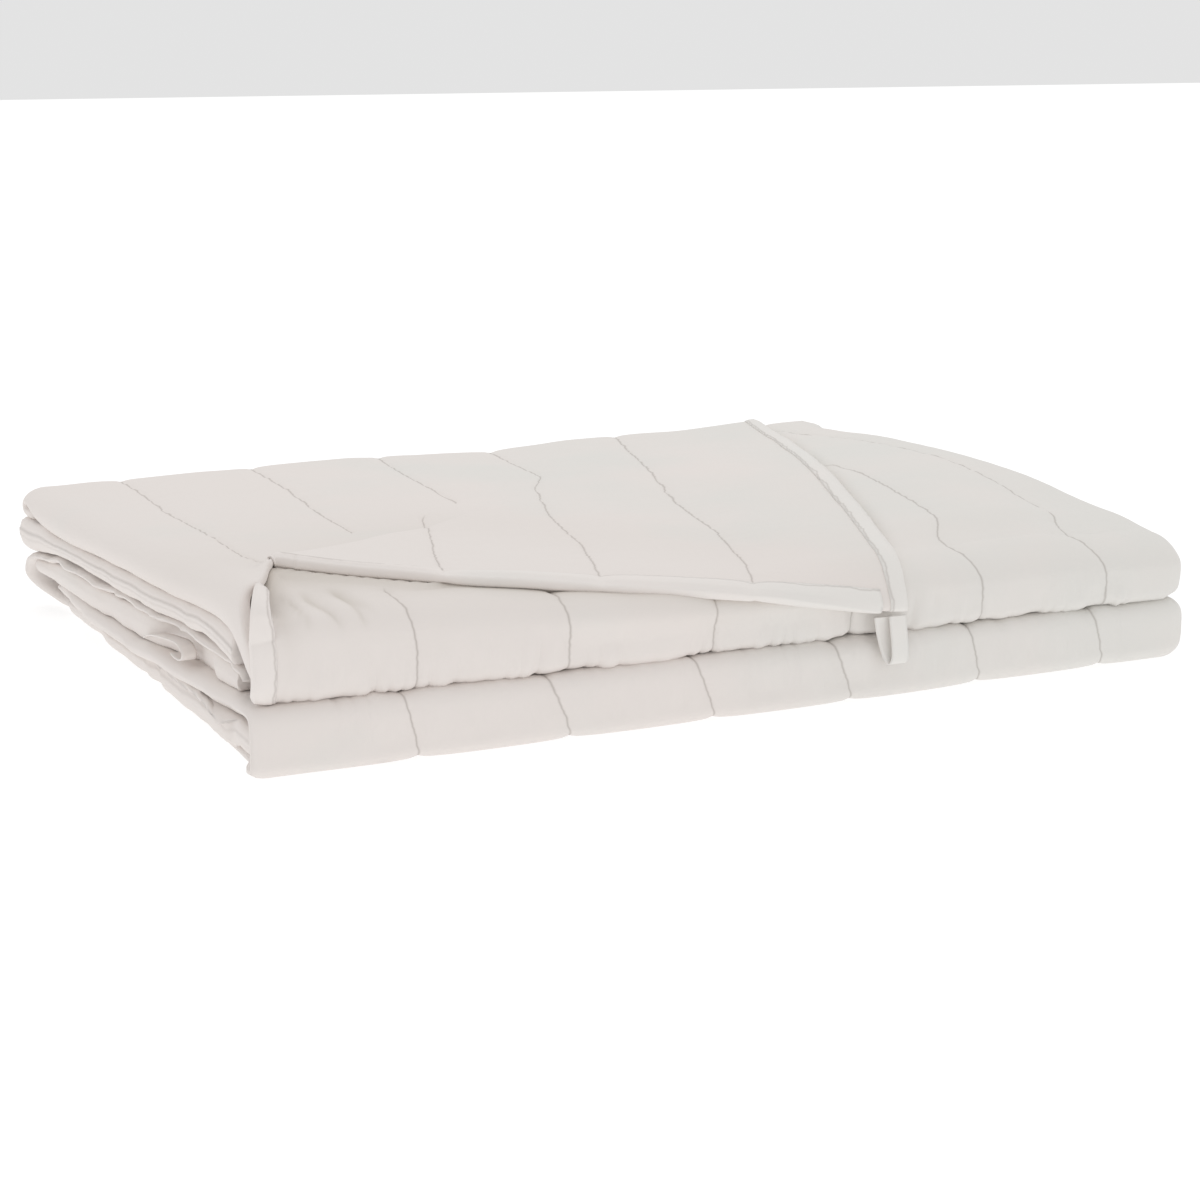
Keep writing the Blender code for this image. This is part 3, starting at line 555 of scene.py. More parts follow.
# marks for the material: painted light on the turned-over flap, painted shade behind its fold, and the sewn
# lines
topMarks = {"sewn": topShare, "turned": litFlapShare(topPoints), "shaded": behindFold(topPoints)}
topLayer = clothMesh("top_layer", topPoints, topHalf, quiltCloth, topUv, topMarks)
print("top_layer", len(topLayer.data.polygons))


stackColumns = columnsOf(np.linspace(1.0, 0.1, 14), np.arange(0.475, 6.24, 0.025), np.linspace(0.1, 1.0, 22))


def leanOf(x, z):  # how far the sewn lines lean to the left on top of the upper fold
    most = 0.9 + 0.6 * ease((x - 40.0) / 8.0) + 1.0 * ease((x - 54.0) / 5.0)
    return most * np.clip((z - 6.0) / 4.0, 0.0, 1.0) ** 2 * ease((x - 4.0) / 4.0)


def upperFold(columns, degrees):  # a row round the upper front fold, 270 below to 90 on top
    phi = math.radians(degrees)
    x = plainX(columns, 1.1, length)
    top = noseTop(x)
    deep = 3.6 - 1.4 * (1.0 - ease(x / 6.0))
    under = seam - 0.25
    centerZ = (top + under) / 2
    upright = ease((degrees - 150.0) / 60.0) * ease(x / 6.0)
    lowSquare = 0.62 + 0.38 * ease((x - 10.0) / 10.0)
    highSquare = 0.62 + 0.38 * ease((x - 42.0) / 6.0)
    square = highSquare * (1.0 - 0.58 * upright * (0.35 + 0.65 * ease((x - 10.0) / 10.0)))
    square = square if degrees < 180.0 else lowSquare + (0.28 - lowSquare) * upright
    y = deep + (deep - cloth / 2) * np.sign(math.cos(phi)) * abs(math.cos(phi)) ** square
    z = centerZ + ((top - under) / 2 - cloth / 2) * np.sign(math.sin(phi)) * abs(math.sin(phi)) ** square
    out = ease((2.2 - y) / 1.6)
    x = np.where(columns["left"] > 0.0, plainX(columns, 1.1, length) - 1.1 * out * columns["left"], x)
    swell = 0.55 * ease((z - 5.6) / 2.2) * ease((x - 17.0) / 6.0)
    swell = swell * (1.0 - ease((x - 36.0) / 6.0)) * ease((3.2 - y) / 2.0)
    x = x - leanOf(x, z) * (columns["left"] == 0.0) * (columns["right"] == 0.0)
    row = np.stack([x, y - swell, z], -1)
    bent = wrapEnd(row, columns["right"], 75.0, deep, centerZ, rightWrap, 1)
    return blendEnd(row, bent, columns["right"], 1.0)


def secondLayerRow(columns, part):  # part 0 at the fold, 1 at the back
    at = columns["at"]
    x = plainX(columns, 1.6, length)
    shown = ease((x - shortEdge(50.0) + 3.2) / 1.5)
    yBack = backRow - 2.6 + 3.3 * shown
    y = 4.0 + (yBack - 4.0) * part
    inward = np.where(columns["right"] > 0.0, (1.0 - columns["right"]) / 0.9, 1.0)
    for line in (5, 6):
        shift = along(openLines[line], y) * hump((np.minimum(at, rightEnd) - line) / 0.55)
        x = x + shift * inward * ease((y - 4.0) / 3.5)
    lean = leanOf(x, noseTop(x) - cloth / 2) * (1.0 - ease((y - 4.0) / 5.0))
    x = x - lean * (columns["left"] == 0.0) * (columns["right"] == 0.0)
    back = ease((y - backRow + 5.5) / 5.5)
    beyond = ease((x - shortEdge(y) + 1.6 + 3.2 * back) / 1.8)
    level = underHeight(x, y) - cloth / 2
    z = level * (1.0 - back * (1.0 - beyond)) + backLow * back * (1.0 - beyond) - 0.85 * back * beyond
    thick = cloth / 2 + 0.85 * back * beyond
    row = np.stack([x, y, z], -1)
    foldMiddle = (noseTop(np.full(len(at), length)) + seam) / 2
    center = foldMiddle + (7.4 - foldMiddle) * ease((y - 4.0) / 6.0)
    angle = 75.0 + 50.0 * ease((y - 4.0) / 6.0) * (1.0 - ease((y - backRow + 4.0) / 4.0))
    bent = wrapEnd(row, columns["right"], angle, y, center, rightWrap, 1)
    row = blendEnd(row, bent, columns["right"], 1.0 - 0.9 * ease((y - backRow + 6.0) / 4.0))
    return row, thick


def makeSecondLayer():
    columns = stackColumns
    at, left, right = columns["at"], columns["left"], columns["right"]
    foldRows = [upperFold(columns, degrees) for degrees in np.linspace(270, 90, 62)]
    flatRows = [secondLayerRow(columns, part) for part in np.linspace(0.0, 1.0, 110)]
    points = np.array(foldRows + [row for row, thick in flatRows])
    half = np.array([np.full(len(at), cloth / 2)] * len(foldRows) + [thick for row, thick in flatRows])
    rowRun = runOf(points)
    distance = fromLine(at, half.shape)
    shown = np.ones(half.shape)
    flat = points[len(foldRows):]
    shown[len(foldRows):] = ease((flat[..., 0] - shortEdge(flat[..., 1])) / 2.0)
    shown = shown * (left == 0.0)
    x, y, z = points[..., 0], points[..., 1], points[..., 2]
    lift = puckers(distance, rowRun, np.round(at)[None, :] + 10, shown)
    face = ease((3.4 - y) / 2.0)
    lower = 1.0 - ease((z - 5.2) / 3.0)
    lift = lift + face * lower * (0.11 * noise(x * 1.1, z / 3.0, 21) + 0.1 * noise(x * 2.4, z / 1.6, 22))
    lift = lift + face * 0.07 * noise(x / 3.0, z / 4.0, 23)
    uneven = 0.09 * noise(x / 7.0, y / 7.0, 24) + 0.03 * noise(x / 2.6, y / 2.6, 25)
    lift = lift + (1.0 - face) * shown * uneven
    high = ease((5.0 - y) / 2.0) * ease((z - 6.5) / 1.5) * ease((x - 1.3) / 1.0)
    lipY = np.interp(x, [2.0, 4.0, 5.3, 13.4, 16.0, 24.0, 30.0, 36.0],
                     [4.2, 8.5, 7.8, 4.0, 3.3, 1.4, 0.3, -0.5])
    # painted shade under the turned-over corner's lip and in its creases, which the material reads as
    # 'shaded'
    below = 0.5 * np.clip(lipY - y, 0.0, None) + np.clip(noseTop(x) - cloth / 2 - z, 0.0, None)
    shade = 0.5 * np.exp(-below / (1.5 - 0.8 * ease((x - 5.0) / 9.0)))
    shade = shade * ease((x - 1.2) / 0.8) * (1.0 - ease((x - 30.0) / 8.0))
    for x0, z0, x1, z1, deep in gatherLines:
        run = math.hypot(x1 - x0, z1 - z0)
        onward = ((x - x0) * (x1 - x0) + (z - z0) * (z1 - z0)) / run
        aside = ((x - x0) * (z1 - z0) - (z - z0) * (x1 - x0)) / run
        taper = ease((onward + 0.6) / 0.8) * (1.0 - ease((onward - 0.6 * run) / (0.5 * run)))
        valley = np.exp(-(aside / 0.32) ** 2) - 0.5 * np.exp(-((aside - 0.7) / 0.45) ** 2)
        lift = lift - deep * taper * high * valley
        shade = shade + 2.2 * deep * taper * high * np.exp(-(aside / 0.22) ** 2)
    lift = lift - 0.4 * high * hump((x - 3.6) / 2.2) * ease((z - 8.6) / 1.2)
    tipX, tipZ = 1.6, 10.3
    reach = np.hypot(x - tipX, z - tipZ)
    angle = np.arctan2(tipZ - z, x - tipX)
    gather = noise(angle * 4.2, reach * 0.15, 26) * ease((reach - 0.3) / 0.9) * np.exp(-reach / 2.6)
    lift = lift + 0.22 * gather * ease((4.5 - y) / 2.0)
    points = points + normalsOf(points) * lift[..., None]
    half = half - grooveDepth(np.abs(distance), shown)
    rightThin = np.where(right > 0.9, 1.0 - 4.0 * (right - 0.9), 1.0)
    half = half * endRound(left, 0.8)[None, :] * rightThin[None, :]
    half[0] *= 0.5
    half[-1] *= 0.45
    half[-2] *= 0.8
    return points, half, shown, rowRun, shade


secondPoints, secondHalf, secondShare, secondRun, secondShade = makeSecondLayer()
stackAcross = stackColumns["at"] * panel - stackColumns["left"] * 3.0 + stackColumns["right"] * 4.0
secondUv = (np.broadcast_to(stackAcross, secondRun.shape), secondRun)
secondLayer = clothMesh("second_layer", secondPoints, secondHalf, quiltCloth, secondUv,
                        {"sewn": secondShare, "shaded": secondShade})
print("second_layer", len(secondLayer.data.polygons))


def makeArmLayer():
    columns = stackColumns
    at, left, right = columns["at"], columns["left"], columns["right"]
    rowsAll = []
    rightX = length - 0.4
    for yRow in np.concatenate([[3.75, 4.6], np.linspace(5.5, backRow - 1.5, 56)]):
        bulge = 0.45 * float(ease((yRow - 28.0) / 20.0))
        leftX = 0.3 - bulge + 0.16 * noise(yRow / 2.4, 1.0, 31) + 0.1 * noise(yRow / 0.9, 2.0, 32)
        x = plainX(columns, leftX, rightX)
        y = np.full(len(at), yRow)
        uneven = 0.1 * noise(yRow / 1.9, x / 1.4, 33) + 0.06 * noise(yRow / 0.9, x / 0.8, 34)
        z = armHeight(x, y) + leftShare(x) * (0.15 + uneven)
        row = np.stack([x, y, z], -1)
        bent = wrapEnd(row, right, 75.0, y, 6.6, rightWrap, 1)
        rowsAll.append(blendEnd(row, bent, right, float(1.0 - ease((yRow - 4.0) / 2.4))))
    levelRows = len(rowsAll)
    high, low = 3.8, cloth / 2
    for degrees in np.linspace(74, -90, 20):
        phi = math.radians(degrees)
        x = plainX(columns, -0.15 + 2.1 * float(ease(((90 - degrees) / 180.0 - 0.4) / 0.6)), rightX)
        y = np.full(len(at), backRow - 0.8 + 1.7 * math.cos(phi))
        z = (high + low) / 2 + (high - low) / 2 * math.sin(phi)
        rowsAll.append(np.stack([x, y, np.full(len(at), z)], -1))
    foldEnd = len(rowsAll)
    for yRow in (49.5, 48.2, 47.2):
        x = plainX(columns, 2.1, rightX)
        rowsAll.append(np.stack([x, np.full(len(at), yRow), np.full(len(at), low)], -1))
    points = np.array(rowsAll)
    half = np.full(points.shape[:2], cloth / 2)
    distance = np.abs(fromLine(at, half.shape))
    share = np.zeros(half.shape)
    share[levelRows:foldEnd] = 1.0
    half = half - grooveDepth(distance, share)
    half = half * endRound(left, 0.8)[None, :] * endRound(right, 0.8)[None, :]
    half[:levelRows] = half[:levelRows] * (1.0 - 0.34 * leftShare(points[:levelRows, :, 0]))
    half[0] *= 0.5
    half[-1] *= 0.5
    return points, half, share, runOf(points)


armPoints, armHalf, armShare, armRun = makeArmLayer()
armUv = (np.broadcast_to(stackAcross, armRun.shape), armRun)
armLayer = clothMesh("arm_layer", armPoints, armHalf, quiltCloth, armUv, {"sewn": armShare})
print("arm_layer", len(armLayer.data.polygons))


def makeBottomLayer():
    columns = stackColumns
    at, left, right = columns["at"], columns["left"], columns["right"]
    rowsAll, shares = [], []
    for yRow in (47.0, 44.0, 36.0, 28.0, 20.0, 12.0, 7.0, 5.2):
        x = plainX(columns, float(along(bottomInset, yRow)), length - 0.4)
        rowsAll.append(np.stack([x, np.full(len(at), yRow), np.full(len(at), cloth / 2)], -1))
        shares.append(0.0)
    for degrees in np.linspace(-86, 86, 54):
        phi = math.radians(degrees)
        x = plainX(columns, -0.45 + 0.85 * float(ease(-1.8 * degrees / 90.0 - 0.8)), length)
        slope = ease((x - 1.0) / 7.0) * (1.0 - ease((x - 60.0) / 4.0))
        front = 0.12 + 0.3 * ease((x - 40.0) / 14.0) + 0.1 * (1.0 - slope)
        high = seam + 0.02 - cloth / 2
        frontZ = 1.9
        bend = 0.35 + 0.25 * ease((x - 40.0) / 14.0)
        if degrees < 0:
            level = 3.2 - front - bend
            whole = level + bend * math.pi / 2 + frontZ - cloth / 2 - bend
            walked = (1.0 + degrees / 90.0) * whole
            turned = np.clip((walked - level) / bend, 0.0, math.pi / 2)
            upright = np.clip(walked - level - bend * math.pi / 2, 0.0, None)
            y = 3.2 - np.minimum(walked, level) - bend * np.sin(turned)
            z = cloth / 2 + bend * (1.0 - np.cos(turned)) + upright
        else:
            y = front + 2.0 * (1.0 - math.cos(phi) ** 0.35)
            z = frontZ + (high - frontZ) * math.sin(phi) ** 0.35
        rise = np.clip(z / 4.0, 0.0, 1.0)
        lean = 1.0 + 0.6 * ease((x - 8.0) / 8.0) - 0.6 * ease((x - 38.0) / 8.0)
        x = x - lean * rise ** 1.3 * (left == 0.0) * (right == 0.0) * ease((x - 4.0) / 4.0)
        row = np.stack(np.broadcast_arrays(x, y, z), -1)
        bent = wrapEnd(row, right, 70.0, 2.5, 2.1, 1.6, 1)
        rowsAll.append(blendEnd(row, bent, right, 1.0))
        shares.append(1.0)
    turnedIn = len(rowsAll)
    for yRow in np.concatenate([[5.6, 6.4], np.linspace(7.5, 47.5, 34)]):
        inset = 0.2 + 0.8 * float(ease((yRow - 36.0) / 11.0))
        x = plainX(columns, inset + 0.15 * noise(yRow / 3.0, 5.0, 41), length - 0.8)
        top = along(innerTop, yRow, 1.0) + leftShare(x) * 0.12 * noise(yRow / 2.2, x / 2.0, 45)
        rowsAll.append(np.stack([x, np.full(len(at), yRow), top - cloth / 2 - 0.2 * leftShare(x)], -1))
        shares.append(0.0)
    points = np.array(rowsAll)
    share = np.repeat(np.array(shares)[:, None], len(at), axis=1) * (left == 0.0)
    half = np.full(points.shape[:2], cloth / 2)
    distance = fromLine(at, half.shape)
    rowRun = runOf(points)
    x, z = points[..., 0], points[..., 2]
    face = share * ease((z - 0.6) / 1.2)
    lift = puckers(distance, rowRun, np.round(at)[None, :] + 20, face)
    lift = lift + face * (0.09 * noise(x / 1.2, z / 3.0, 42) + 0.06 * noise(x * 2.2, z / 1.6, 43))
    lift = lift + face * 0.05 * noise(x / 4.0, z / 4.0, 44)
    soft = x - along([(0.3, 4.2), (2.3, 3.4), (4.1, 1.6)], z)
    lift = lift - 0.1 * hump(soft / 0.45) * face + 0.06 * hump((soft - 0.9) / 0.6) * face
    points = points + normalsOf(points) * lift[..., None]
    half = half - grooveDepth(np.abs(distance), share)
    half = half * endRound(left, 0.8)[None, :] * endRound(right, 0.9)[None, :]
    thicker = 0.2 * leftShare(points[turnedIn:, :, 0]) * endRound(left, 0.8)[None, :]
    half[turnedIn:] = half[turnedIn:] + thicker
    half[0] *= 0.5
    half[-1] *= 0.45
    return points, half, share, rowRun


bottomPoints, bottomHalf, bottomShare, bottomRun = makeBottomLayer()
bottomUv = (np.broadcast_to(stackAcross, bottomRun.shape), bottomRun)
bottomLayer = clothMesh("bottom_layer", bottomPoints, bottomHalf, quiltCloth, bottomUv, {"sewn": bottomShare})
print("bottom_layer", len(bottomLayer.data.polygons))


endXs = 1.2 * (1.0 - np.cos(np.linspace(0.0, math.pi / 2, 12)))  # columns close together at a left end


def makeRolledPly():  # the ply between the second layer and the arm layer
    ys = np.concatenate([np.linspace(4.4, 6.0, 8), np.linspace(6.5, 50.3, 70), np.linspace(50.6, 52.4, 10)])
    xs = np.concatenate([0.05 + endXs, np.linspace(1.5, 9.0, 20), np.linspace(10.0, 64.0, 28),
                         [64.5, 64.8, 65.0, 65.15, 65.2]])
    x, y = np.meshgrid(xs, ys)
    hem, share = along(leftHem, y, 0.8), leftShare(x)
    parted = np.maximum(np.maximum(share, ease((y - 45.0) / 4.5)), ease((x - 60.0) / 2.0))
    slit = 0.08 + 0.24 * share * (hump((y - 38.0) / 6.0) + hump((y - 9.5) / 2.5))
    low = armHeight(x, y) + (cloth / 2 + slit) * parted + cloth / 2 * (1.0 - parted)
    high = armHeight(x, y) + 1.6
    high = high + (hem - topCloth / 2 + 0.26 + 0.35 * ease((y - 43.0) / 5.0) - high) * share
    rim = np.minimum(np.minimum(x - xs[0], xs[-1] - x), np.minimum((y - ys[0]) * 1.2, ys[-1] - y))
    part = np.clip(rim / 0.5, 0.0, 1.0)
    half = (high - low) / 2 * np.sqrt(np.maximum(0.05, 1.0 - (1.0 - part) ** 2))
    z = (low + high) / 2 + share * (0.05 * noise(y / 2.2, x / 2.0, 51) + 0.03 * noise(y / 1.0, x, 52))
    bulge = 0.35 * ease((y - 28.0) / 20.0) * share
    points = np.stack([x - bulge - 0.14 * share * (0.5 + 0.5 * noise(y / 2.5, 0.0, 53)), y, z], -1)
    return points, half


plyPoints, plyHalf = makeRolledPly()
plyUv = (plyPoints[..., 0], plyPoints[..., 1])
rolledPly = clothMesh("rolled_ply", plyPoints, plyHalf, quiltCloth, plyUv, {})
print("rolled_ply", len(rolledPly.data.polygons))


# Soft ply between two heights, wrinkled at its left end
def makeInnerPly(ys, xs, low, high, rimWidth, inset, seed):
    x, y = np.meshgrid(xs, ys)
    low, high = low(x, y), high(x, y)
    rim = np.minimum(np.minimum(x - xs[0], xs[-1] - x), np.minimum(y - ys[0], ys[-1] - y))
    part = np.clip(rim / rimWidth, 0.0, 1.0)
    half = np.maximum((high - low) / 2, 0.03) * np.sqrt(np.maximum(0.05, 1.0 - (1.0 - part) ** 2))
    end = 1.0 - ease((x - xs[0]) / 3.0)
    uneven = 0.14 * noise(y / 4.0, 0.0, seed) + 0.1 * noise(y / 1.6, 3.0, seed)
    sway = end * (uneven + along(inset, y, 1.5))
    z = (low + high) / 2 + end * 0.04 * noise(y / 1.3, x / 1.5, seed + 1)
    return np.stack([x + sway, y, z], -1), half


frontYs = 3.0 + 1.6 * (1.0 - np.cos(np.linspace(0.0, math.pi / 2, 10)))


def nestedLow(x, y):  # the nested ply rests on the bottom layer, and on the floor at its left end
    onCloth = np.maximum(ease((x - along(bottomInset, y, 1.0) + 0.45) / 0.5), 1.0 - ease((y - 4.5) / 1.5))
    return 0.06 + 0.9 * onCloth


def nestedHigh(x, y):  # and reaches up to the turned-in ply
    return np.minimum(along(innerTop, y, 1.0) - cloth - 0.45 * leftShare(x) + 0.06, 2.6)


def middleLow(x, y):  # the middle ply fills the room between the turned-in ply
    return along(innerTop, y, 1.0) + 0.02


def middleHigh(x, y):  # and the arm layer
    return armHeight(x, y) + 0.15 * leftShare(x) - 0.33 - 0.12 * (1.0 - leftShare(x)) - 0.02


nestedPoints, nestedHalf = makeInnerPly(
    np.concatenate([frontYs - 1.8, np.linspace(3.2, 46.6, 94), [47.0, 47.3, 47.5]]),
    np.concatenate([0.12 + endXs, np.linspace(1.8, 9.0, 18), np.linspace(10.0, 64.0, 28),
                    [64.8, 65.3, 65.6]]),
    nestedLow, nestedHigh, 0.45, [(0.0, -0.2), (4.0, -0.1), (12.0, 0.55), (26.0, 1.1), (50.0, 1.7)], 61)
nestedPly = clothMesh("nested_ply", nestedPoints, nestedHalf, quiltCloth,
                      (nestedPoints[..., 0], nestedPoints[..., 1]), {})
middlePoints, middleHalf = makeInnerPly(
    np.concatenate([5.6 + frontYs - 3.0, np.linspace(7.6, 49.6, 90), [50.0, 50.3, 50.5]]),
    np.concatenate([0.5 + endXs, np.linspace(2.0, 7.0, 14), [7.3, 7.5]]),
    middleLow, middleHigh, 0.35,
    [(0.0, 0.2), (10.0, 0.1), (13.5, 0.9), (17.5, 0.9), (24.0, 0.2), (30.0, -0.1), (50.0, -0.3)], 71)
middlePly = clothMesh("middle_ply", middlePoints, middleHalf, quiltCloth,
                      (middlePoints[..., 0], middlePoints[..., 1]), {})
print("inner plies", len(nestedPly.data.polygons), len(middlePly.data.polygons))


tapeSizes = {
    "thick": 0.10,
    "gap": 0.06,            # room between the cloth and the tape, closed at the tape's rims
    "width": 1.25,          # of the tape on each side of an edge
    "cornerLoop": 1.25,     # width of the loop at the turned-over corner
    "innerLoop": 1.0,       # width of the loop inside the lower fold
}


stripPoints = 7  # points across a tape on each side of an edge


def edgeStrip(points, normals, halves, width):  # cloth from an edge inwards, evenly spaced
    run = np.concatenate([[0.0], np.cumsum(np.linalg.norm(np.diff(points, axis=0), axis=1))])
    at = np.linspace(0.0, width, stripPoints)
    pick = []
    for values in (points, normals):
        pick.append(np.stack([np.interp(at, run, values[:, axis]) for axis in range(3)], -1))
    return pick[0], pick[1], np.interp(at, run, halves)


def tapeAround(name, stations):  # tape folded round an edge, its inner rims pressed on the cloth
    thick, gap = tapeSizes["thick"], tapeSizes["gap"]
    rowsAll = []
    for points, normal, half in stations:
        outward = points[0] - points[1]
        outward = outward / np.linalg.norm(outward)
        sink = ease((np.arange(len(points)) - len(points) + 3.0) / 2.0)
        out = gap + thick / 2 - sink * (gap + 0.035)
        top = points + normal * (half + out)[:, None]
        low = points - normal * (half + out)[:, None]
        rim = []
        for degrees in np.linspace(70, -70, 7):
            phi = math.radians(degrees)
            rim.append(points[0] + outward * (out[0] + 0.03) * math.cos(phi) ** 0.6
                       + normal[0] * (half[0] + out[0]) * math.sin(phi))
        rowsAll.append(np.concatenate([top[::-1], np.array(rim), low]))
    grid = np.array(rowsAll)
    half = np.full(grid.shape[:2], thick / 2)
    run = runOf(grid)
    width = np.concatenate([np.zeros((len(grid), 1)),
                            np.cumsum(np.linalg.norm(np.diff(grid, axis=1), axis=2), axis=1)], axis=1)
    middle = width[:, -1:] / 2
    piece = clothMesh(name, grid, half, tapeCloth, (np.abs(width - middle) - middle + 0.17, run),
                      {"sewn": np.ones(half.shape)})
    return piece, float(run[-1].mean()), float(width[:, -1].mean())


topNormals = normalsOf(topPoints)
topCount = len(topColumns["at"])
stations = []  # along the front edge, from beside line 1 to beside the corner
for column in range(int(np.argmax(topColumns["at"] >= 1.05)), topCount - 9):
    number = topColumns["at"][column]
    wide = 0.4 + (tapeSizes["width"] - 0.4) * float(ease((number - 2.4) / 1.2))
    stations.append(edgeStrip(topPoints[:14, column], topNormals[:14, column], topHalf[:14, column], wide))
frontTape, frontLength, frontWidth = tapeAround("flap_front_binding", stations)

stations = []  # along the short edge, from the back to the corner
inner = slice(topCount - 1, topCount - 22, -1)
for row in range(topRows - 1, -1, -1):
    stations.append(edgeStrip(topPoints[row, inner], topNormals[row, inner], topHalf[row, inner],
                              tapeSizes["width"]))
sideTape, sideLength, sideWidth = tapeAround("flap_side_binding", stations)


def bezier(points, t):
    a, b, c, d = [np.array(point, float) for point in points]
    return a * (1 - t) ** 3 + 3 * b * t * (1 - t) ** 2 + 3 * c * t * t * (1 - t) + d * t ** 3


secondNormals = normalsOf(secondPoints)
stations = []  # up the second layer's left edge, and from there free up to the corner's tip
for row in range(12, 41):
    stations.append(edgeStrip(secondPoints[row, :14], secondNormals[row, :14], secondHalf[row, :14],
                              tapeSizes["width"]))
lastPoints, lastNormals, lastHalves = stations[-1]
tipEdge = topPoints[0, 24] + np.array([-0.3, -0.3, 0.1])
tipInner = tipEdge + np.array([0.55, -0.25, -0.45])
for t in np.linspace(0.0, 1.0, 26)[1:]:
    edge = bezier((lastPoints[0], lastPoints[0] + [0.0, -0.3, 1.5], tipEdge + [-1.9, -4.6, 0.0], tipEdge), t)
    inner = bezier((lastPoints[-1], lastPoints[-1] + [0.0, -0.4, 1.3],
                    tipInner + [-1.9, -5.2, 0.1], tipInner), t)
    points = edge + (inner - edge) * np.linspace(0.0, 1.0, stripPoints)[:, None]
    normal = np.cross(inner - edge, np.array([0.5, 1.0, 0.35]))
    normal = normal / np.linalg.norm(normal)
    normal = normal * np.sign(normal[2] - normal[1])
    mixed = lastNormals * (1.0 - ease(t * 2.5)) + normal * ease(t * 2.5)
    mixed = mixed / np.linalg.norm(mixed, axis=1, keepdims=True)
    stations.append((points, mixed, lastHalves * (1.0 - ease(t * 2.0)) + 0.06 * ease(t * 2.0)))
cornerTape, cornerLength, cornerWidth = tapeAround("corner_binding", stations[::-1])


def tapeLoop(name, path, width):  # flat tape along smoothed points, given as y, z and the x of its middle
    path = np.array(path, float)
    at = np.linspace(0.0, len(path) - 1.0, 8 * len(path))
    smooth = np.stack([sum(np.interp(at + step, np.arange(len(path)), path[:, axis])
                           for step in np.linspace(-0.4, 0.4, 9)) / 9 for axis in range(3)], -1)
    sides = [smooth[:, 2] + side * width for side in np.linspace(-0.5, 0.5, 7)]
    grid = np.stack([np.stack([x, smooth[:, 0], smooth[:, 1]], -1) for x in sides], 1)
    half = np.full(grid.shape[:2], tapeSizes["thick"] / 2)
    run = runOf(grid)
    return clothMesh(name, grid, half, tapeCloth, (grid[..., 0], run), {}), float(run[-1].mean())


corner = topPoints[0, -1]
down = topPoints[0, -1] - topPoints[6, -1]
start = corner + down / np.linalg.norm(down) * 0.12
hangX, hangY, hangZ = float(start[0]) - 0.6, float(start[1]), float(start[2])
cornerPath = [(-0.1, 0.0, 0.0), (-0.2, -1.0, 0.08), (-0.25, -2.2, 0.2), (-0.2, -3.0, 0.25),
              (-0.02, -3.35, 0.1), (0.22, -3.0, -0.15), (0.34, -1.8, -0.5), (0.3, -0.8, -0.75),
              (0.2, -0.1, -0.9)]
cornerPath = [(hangY + y, hangZ + z, hangX + x) for y, z, x in cornerPath]
cornerLoop, cornerLoopLength = tapeLoop("flap_corner_loop", cornerPath, tapeSizes["cornerLoop"])
innerPath = [(23.4, 3.5, 0.75), (22.2, 3.95, 0.55), (20.4, 4.35, 0.45), (18.4, 4.65, 0.4),
             (16.6, 4.85, 0.4), (15.3, 4.98, 0.4), (14.4, 4.85, 0.4), (13.9, 4.5, 0.4),
             (14.1, 4.15, 0.42), (14.8, 3.92, 0.45), (15.8, 3.85, 0.5), (17.0, 3.9, 0.6)]
innerLoop, innerLoopLength = tapeLoop("inner_corner_loop", innerPath, tapeSizes["innerLoop"])
print("tapes and loops")

# What stands for what
for piece in (topLayer, secondLayer, armLayer, bottomLayer, rolledPly, nestedPly, middlePly):
    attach(piece, "root")
    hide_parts("quilt_folded")
for piece, node, size in (
        (frontTape, "flap_front_binding", (frontWidth, frontLength)),
        (sideTape, "flap_side_binding", (sideWidth, sideLength)),
        (cornerTape, "corner_binding", (cornerWidth, cornerLength)),
        (cornerLoop, "flap_corner_loop", (tapeSizes["cornerLoop"], cornerLoopLength)),
        (innerLoop, "inner_corner_loop", (tapeSizes["innerLoop"], innerLoopLength))):
    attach(piece, "root")
    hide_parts(node)


studio = {
    "world": 0.77,
    "overhead": 8.6,                             # watts
    "overheadPlace": (0.2, 0.3, 1.9),
    "overheadTarget": (0.0, 0.0, 0.05),
    "overheadSize": (2.4, 2.0),
    "floorGrey": 0.4,
    "floorGlow": 0.72,
    "floorReach": 12.0,
    "floorDrop": 0.0008,                         # the floor lies this far below the blanket
    "cameraPlace": (-47.07, -138.62, 43.21),     # in the tables' centimetres
    "cameraTurn": (77.384, -26.453),             # degrees from straight down, and to the right
    "lens": 78.58,                               # mm, on a sensor 36 mm wide
}

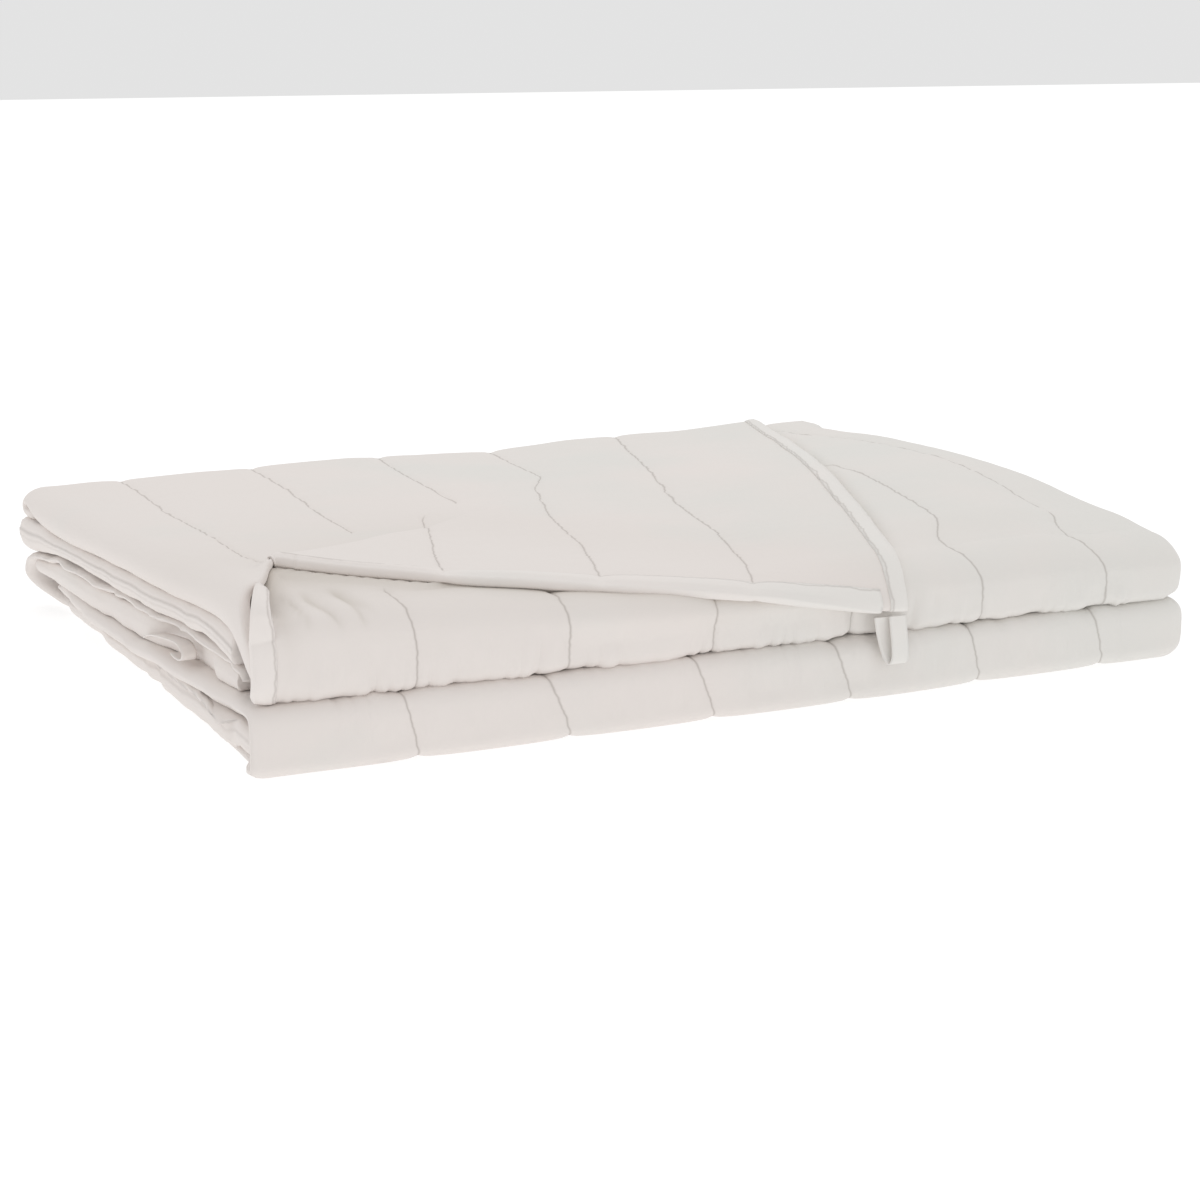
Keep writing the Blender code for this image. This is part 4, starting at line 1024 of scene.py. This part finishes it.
floorMaterial = bpy.data.materials.new("pale floor")
floorMaterial.use_nodes = True
floorShader = floorMaterial.node_tree.nodes["Principled BSDF"]
floorShader.inputs["Base Color"].default_value = (*[studio["floorGrey"]] * 3, 1.0)
floorShader.inputs["Roughness"].default_value = 1.0
floorShader.inputs["Specular IOR Level"].default_value = 0.0
floorShader.inputs["Emission Color"].default_value = (1.0, 1.0, 1.0, 1.0)
floorShader.inputs["Emission Strength"].default_value = studio["floorGlow"]
floorMesh = bpy.data.meshes.new("floor")
floorReach = studio["floorReach"]
floorCorners = ((-1, -1), (1, -1), (1, 1), (-1, 1))
floorMesh.from_pydata([(x * floorReach, y * floorReach, -studio["floorDrop"]) for x, y in floorCorners], [],
                      [(0, 1, 2, 3)])
floorMesh.materials.append(floorMaterial)
floor = bpy.data.objects.new("floor", floorMesh)
bpy.context.scene.collection.objects.link(floor)

world = bpy.data.worlds.new("studio")
world.use_nodes = True
world.node_tree.nodes["Background"].inputs["Color"].default_value = (1.0, 1.0, 1.0, 1.0)
world.node_tree.nodes["Background"].inputs["Strength"].default_value = studio["world"]
bpy.context.scene.world = world

lightData = bpy.data.lights.new("overhead softbox", "AREA")
lightData.shape = "RECTANGLE"
lightData.size, lightData.size_y = studio["overheadSize"]
lightData.energy = studio["overhead"]
light = bpy.data.objects.new("overhead softbox", lightData)
light.location = studio["overheadPlace"]
away = np.array(studio["overheadPlace"]) - np.array(studio["overheadTarget"])
tilt = math.atan2(math.hypot(away[0], away[1]), away[2])
light.rotation_euler = (tilt, 0.0, math.atan2(away[0], -away[1]))
bpy.context.scene.collection.objects.link(light)

cameraData = bpy.data.cameras.new("photo view")
cameraData.lens = studio["lens"]
cameraData.sensor_width = 36.0
camera = bpy.data.objects.new("photo view", cameraData)
camera.location = (np.array(studio["cameraPlace"]) - stackMiddle) * cm
cameraTilt, cameraAside = studio["cameraTurn"]
camera.rotation_euler = (math.radians(cameraTilt), 0.0, math.radians(cameraAside))
bpy.context.scene.collection.objects.link(camera)
bpy.context.scene.camera = camera
bpy.context.scene.view_settings.view_transform = "Standard"
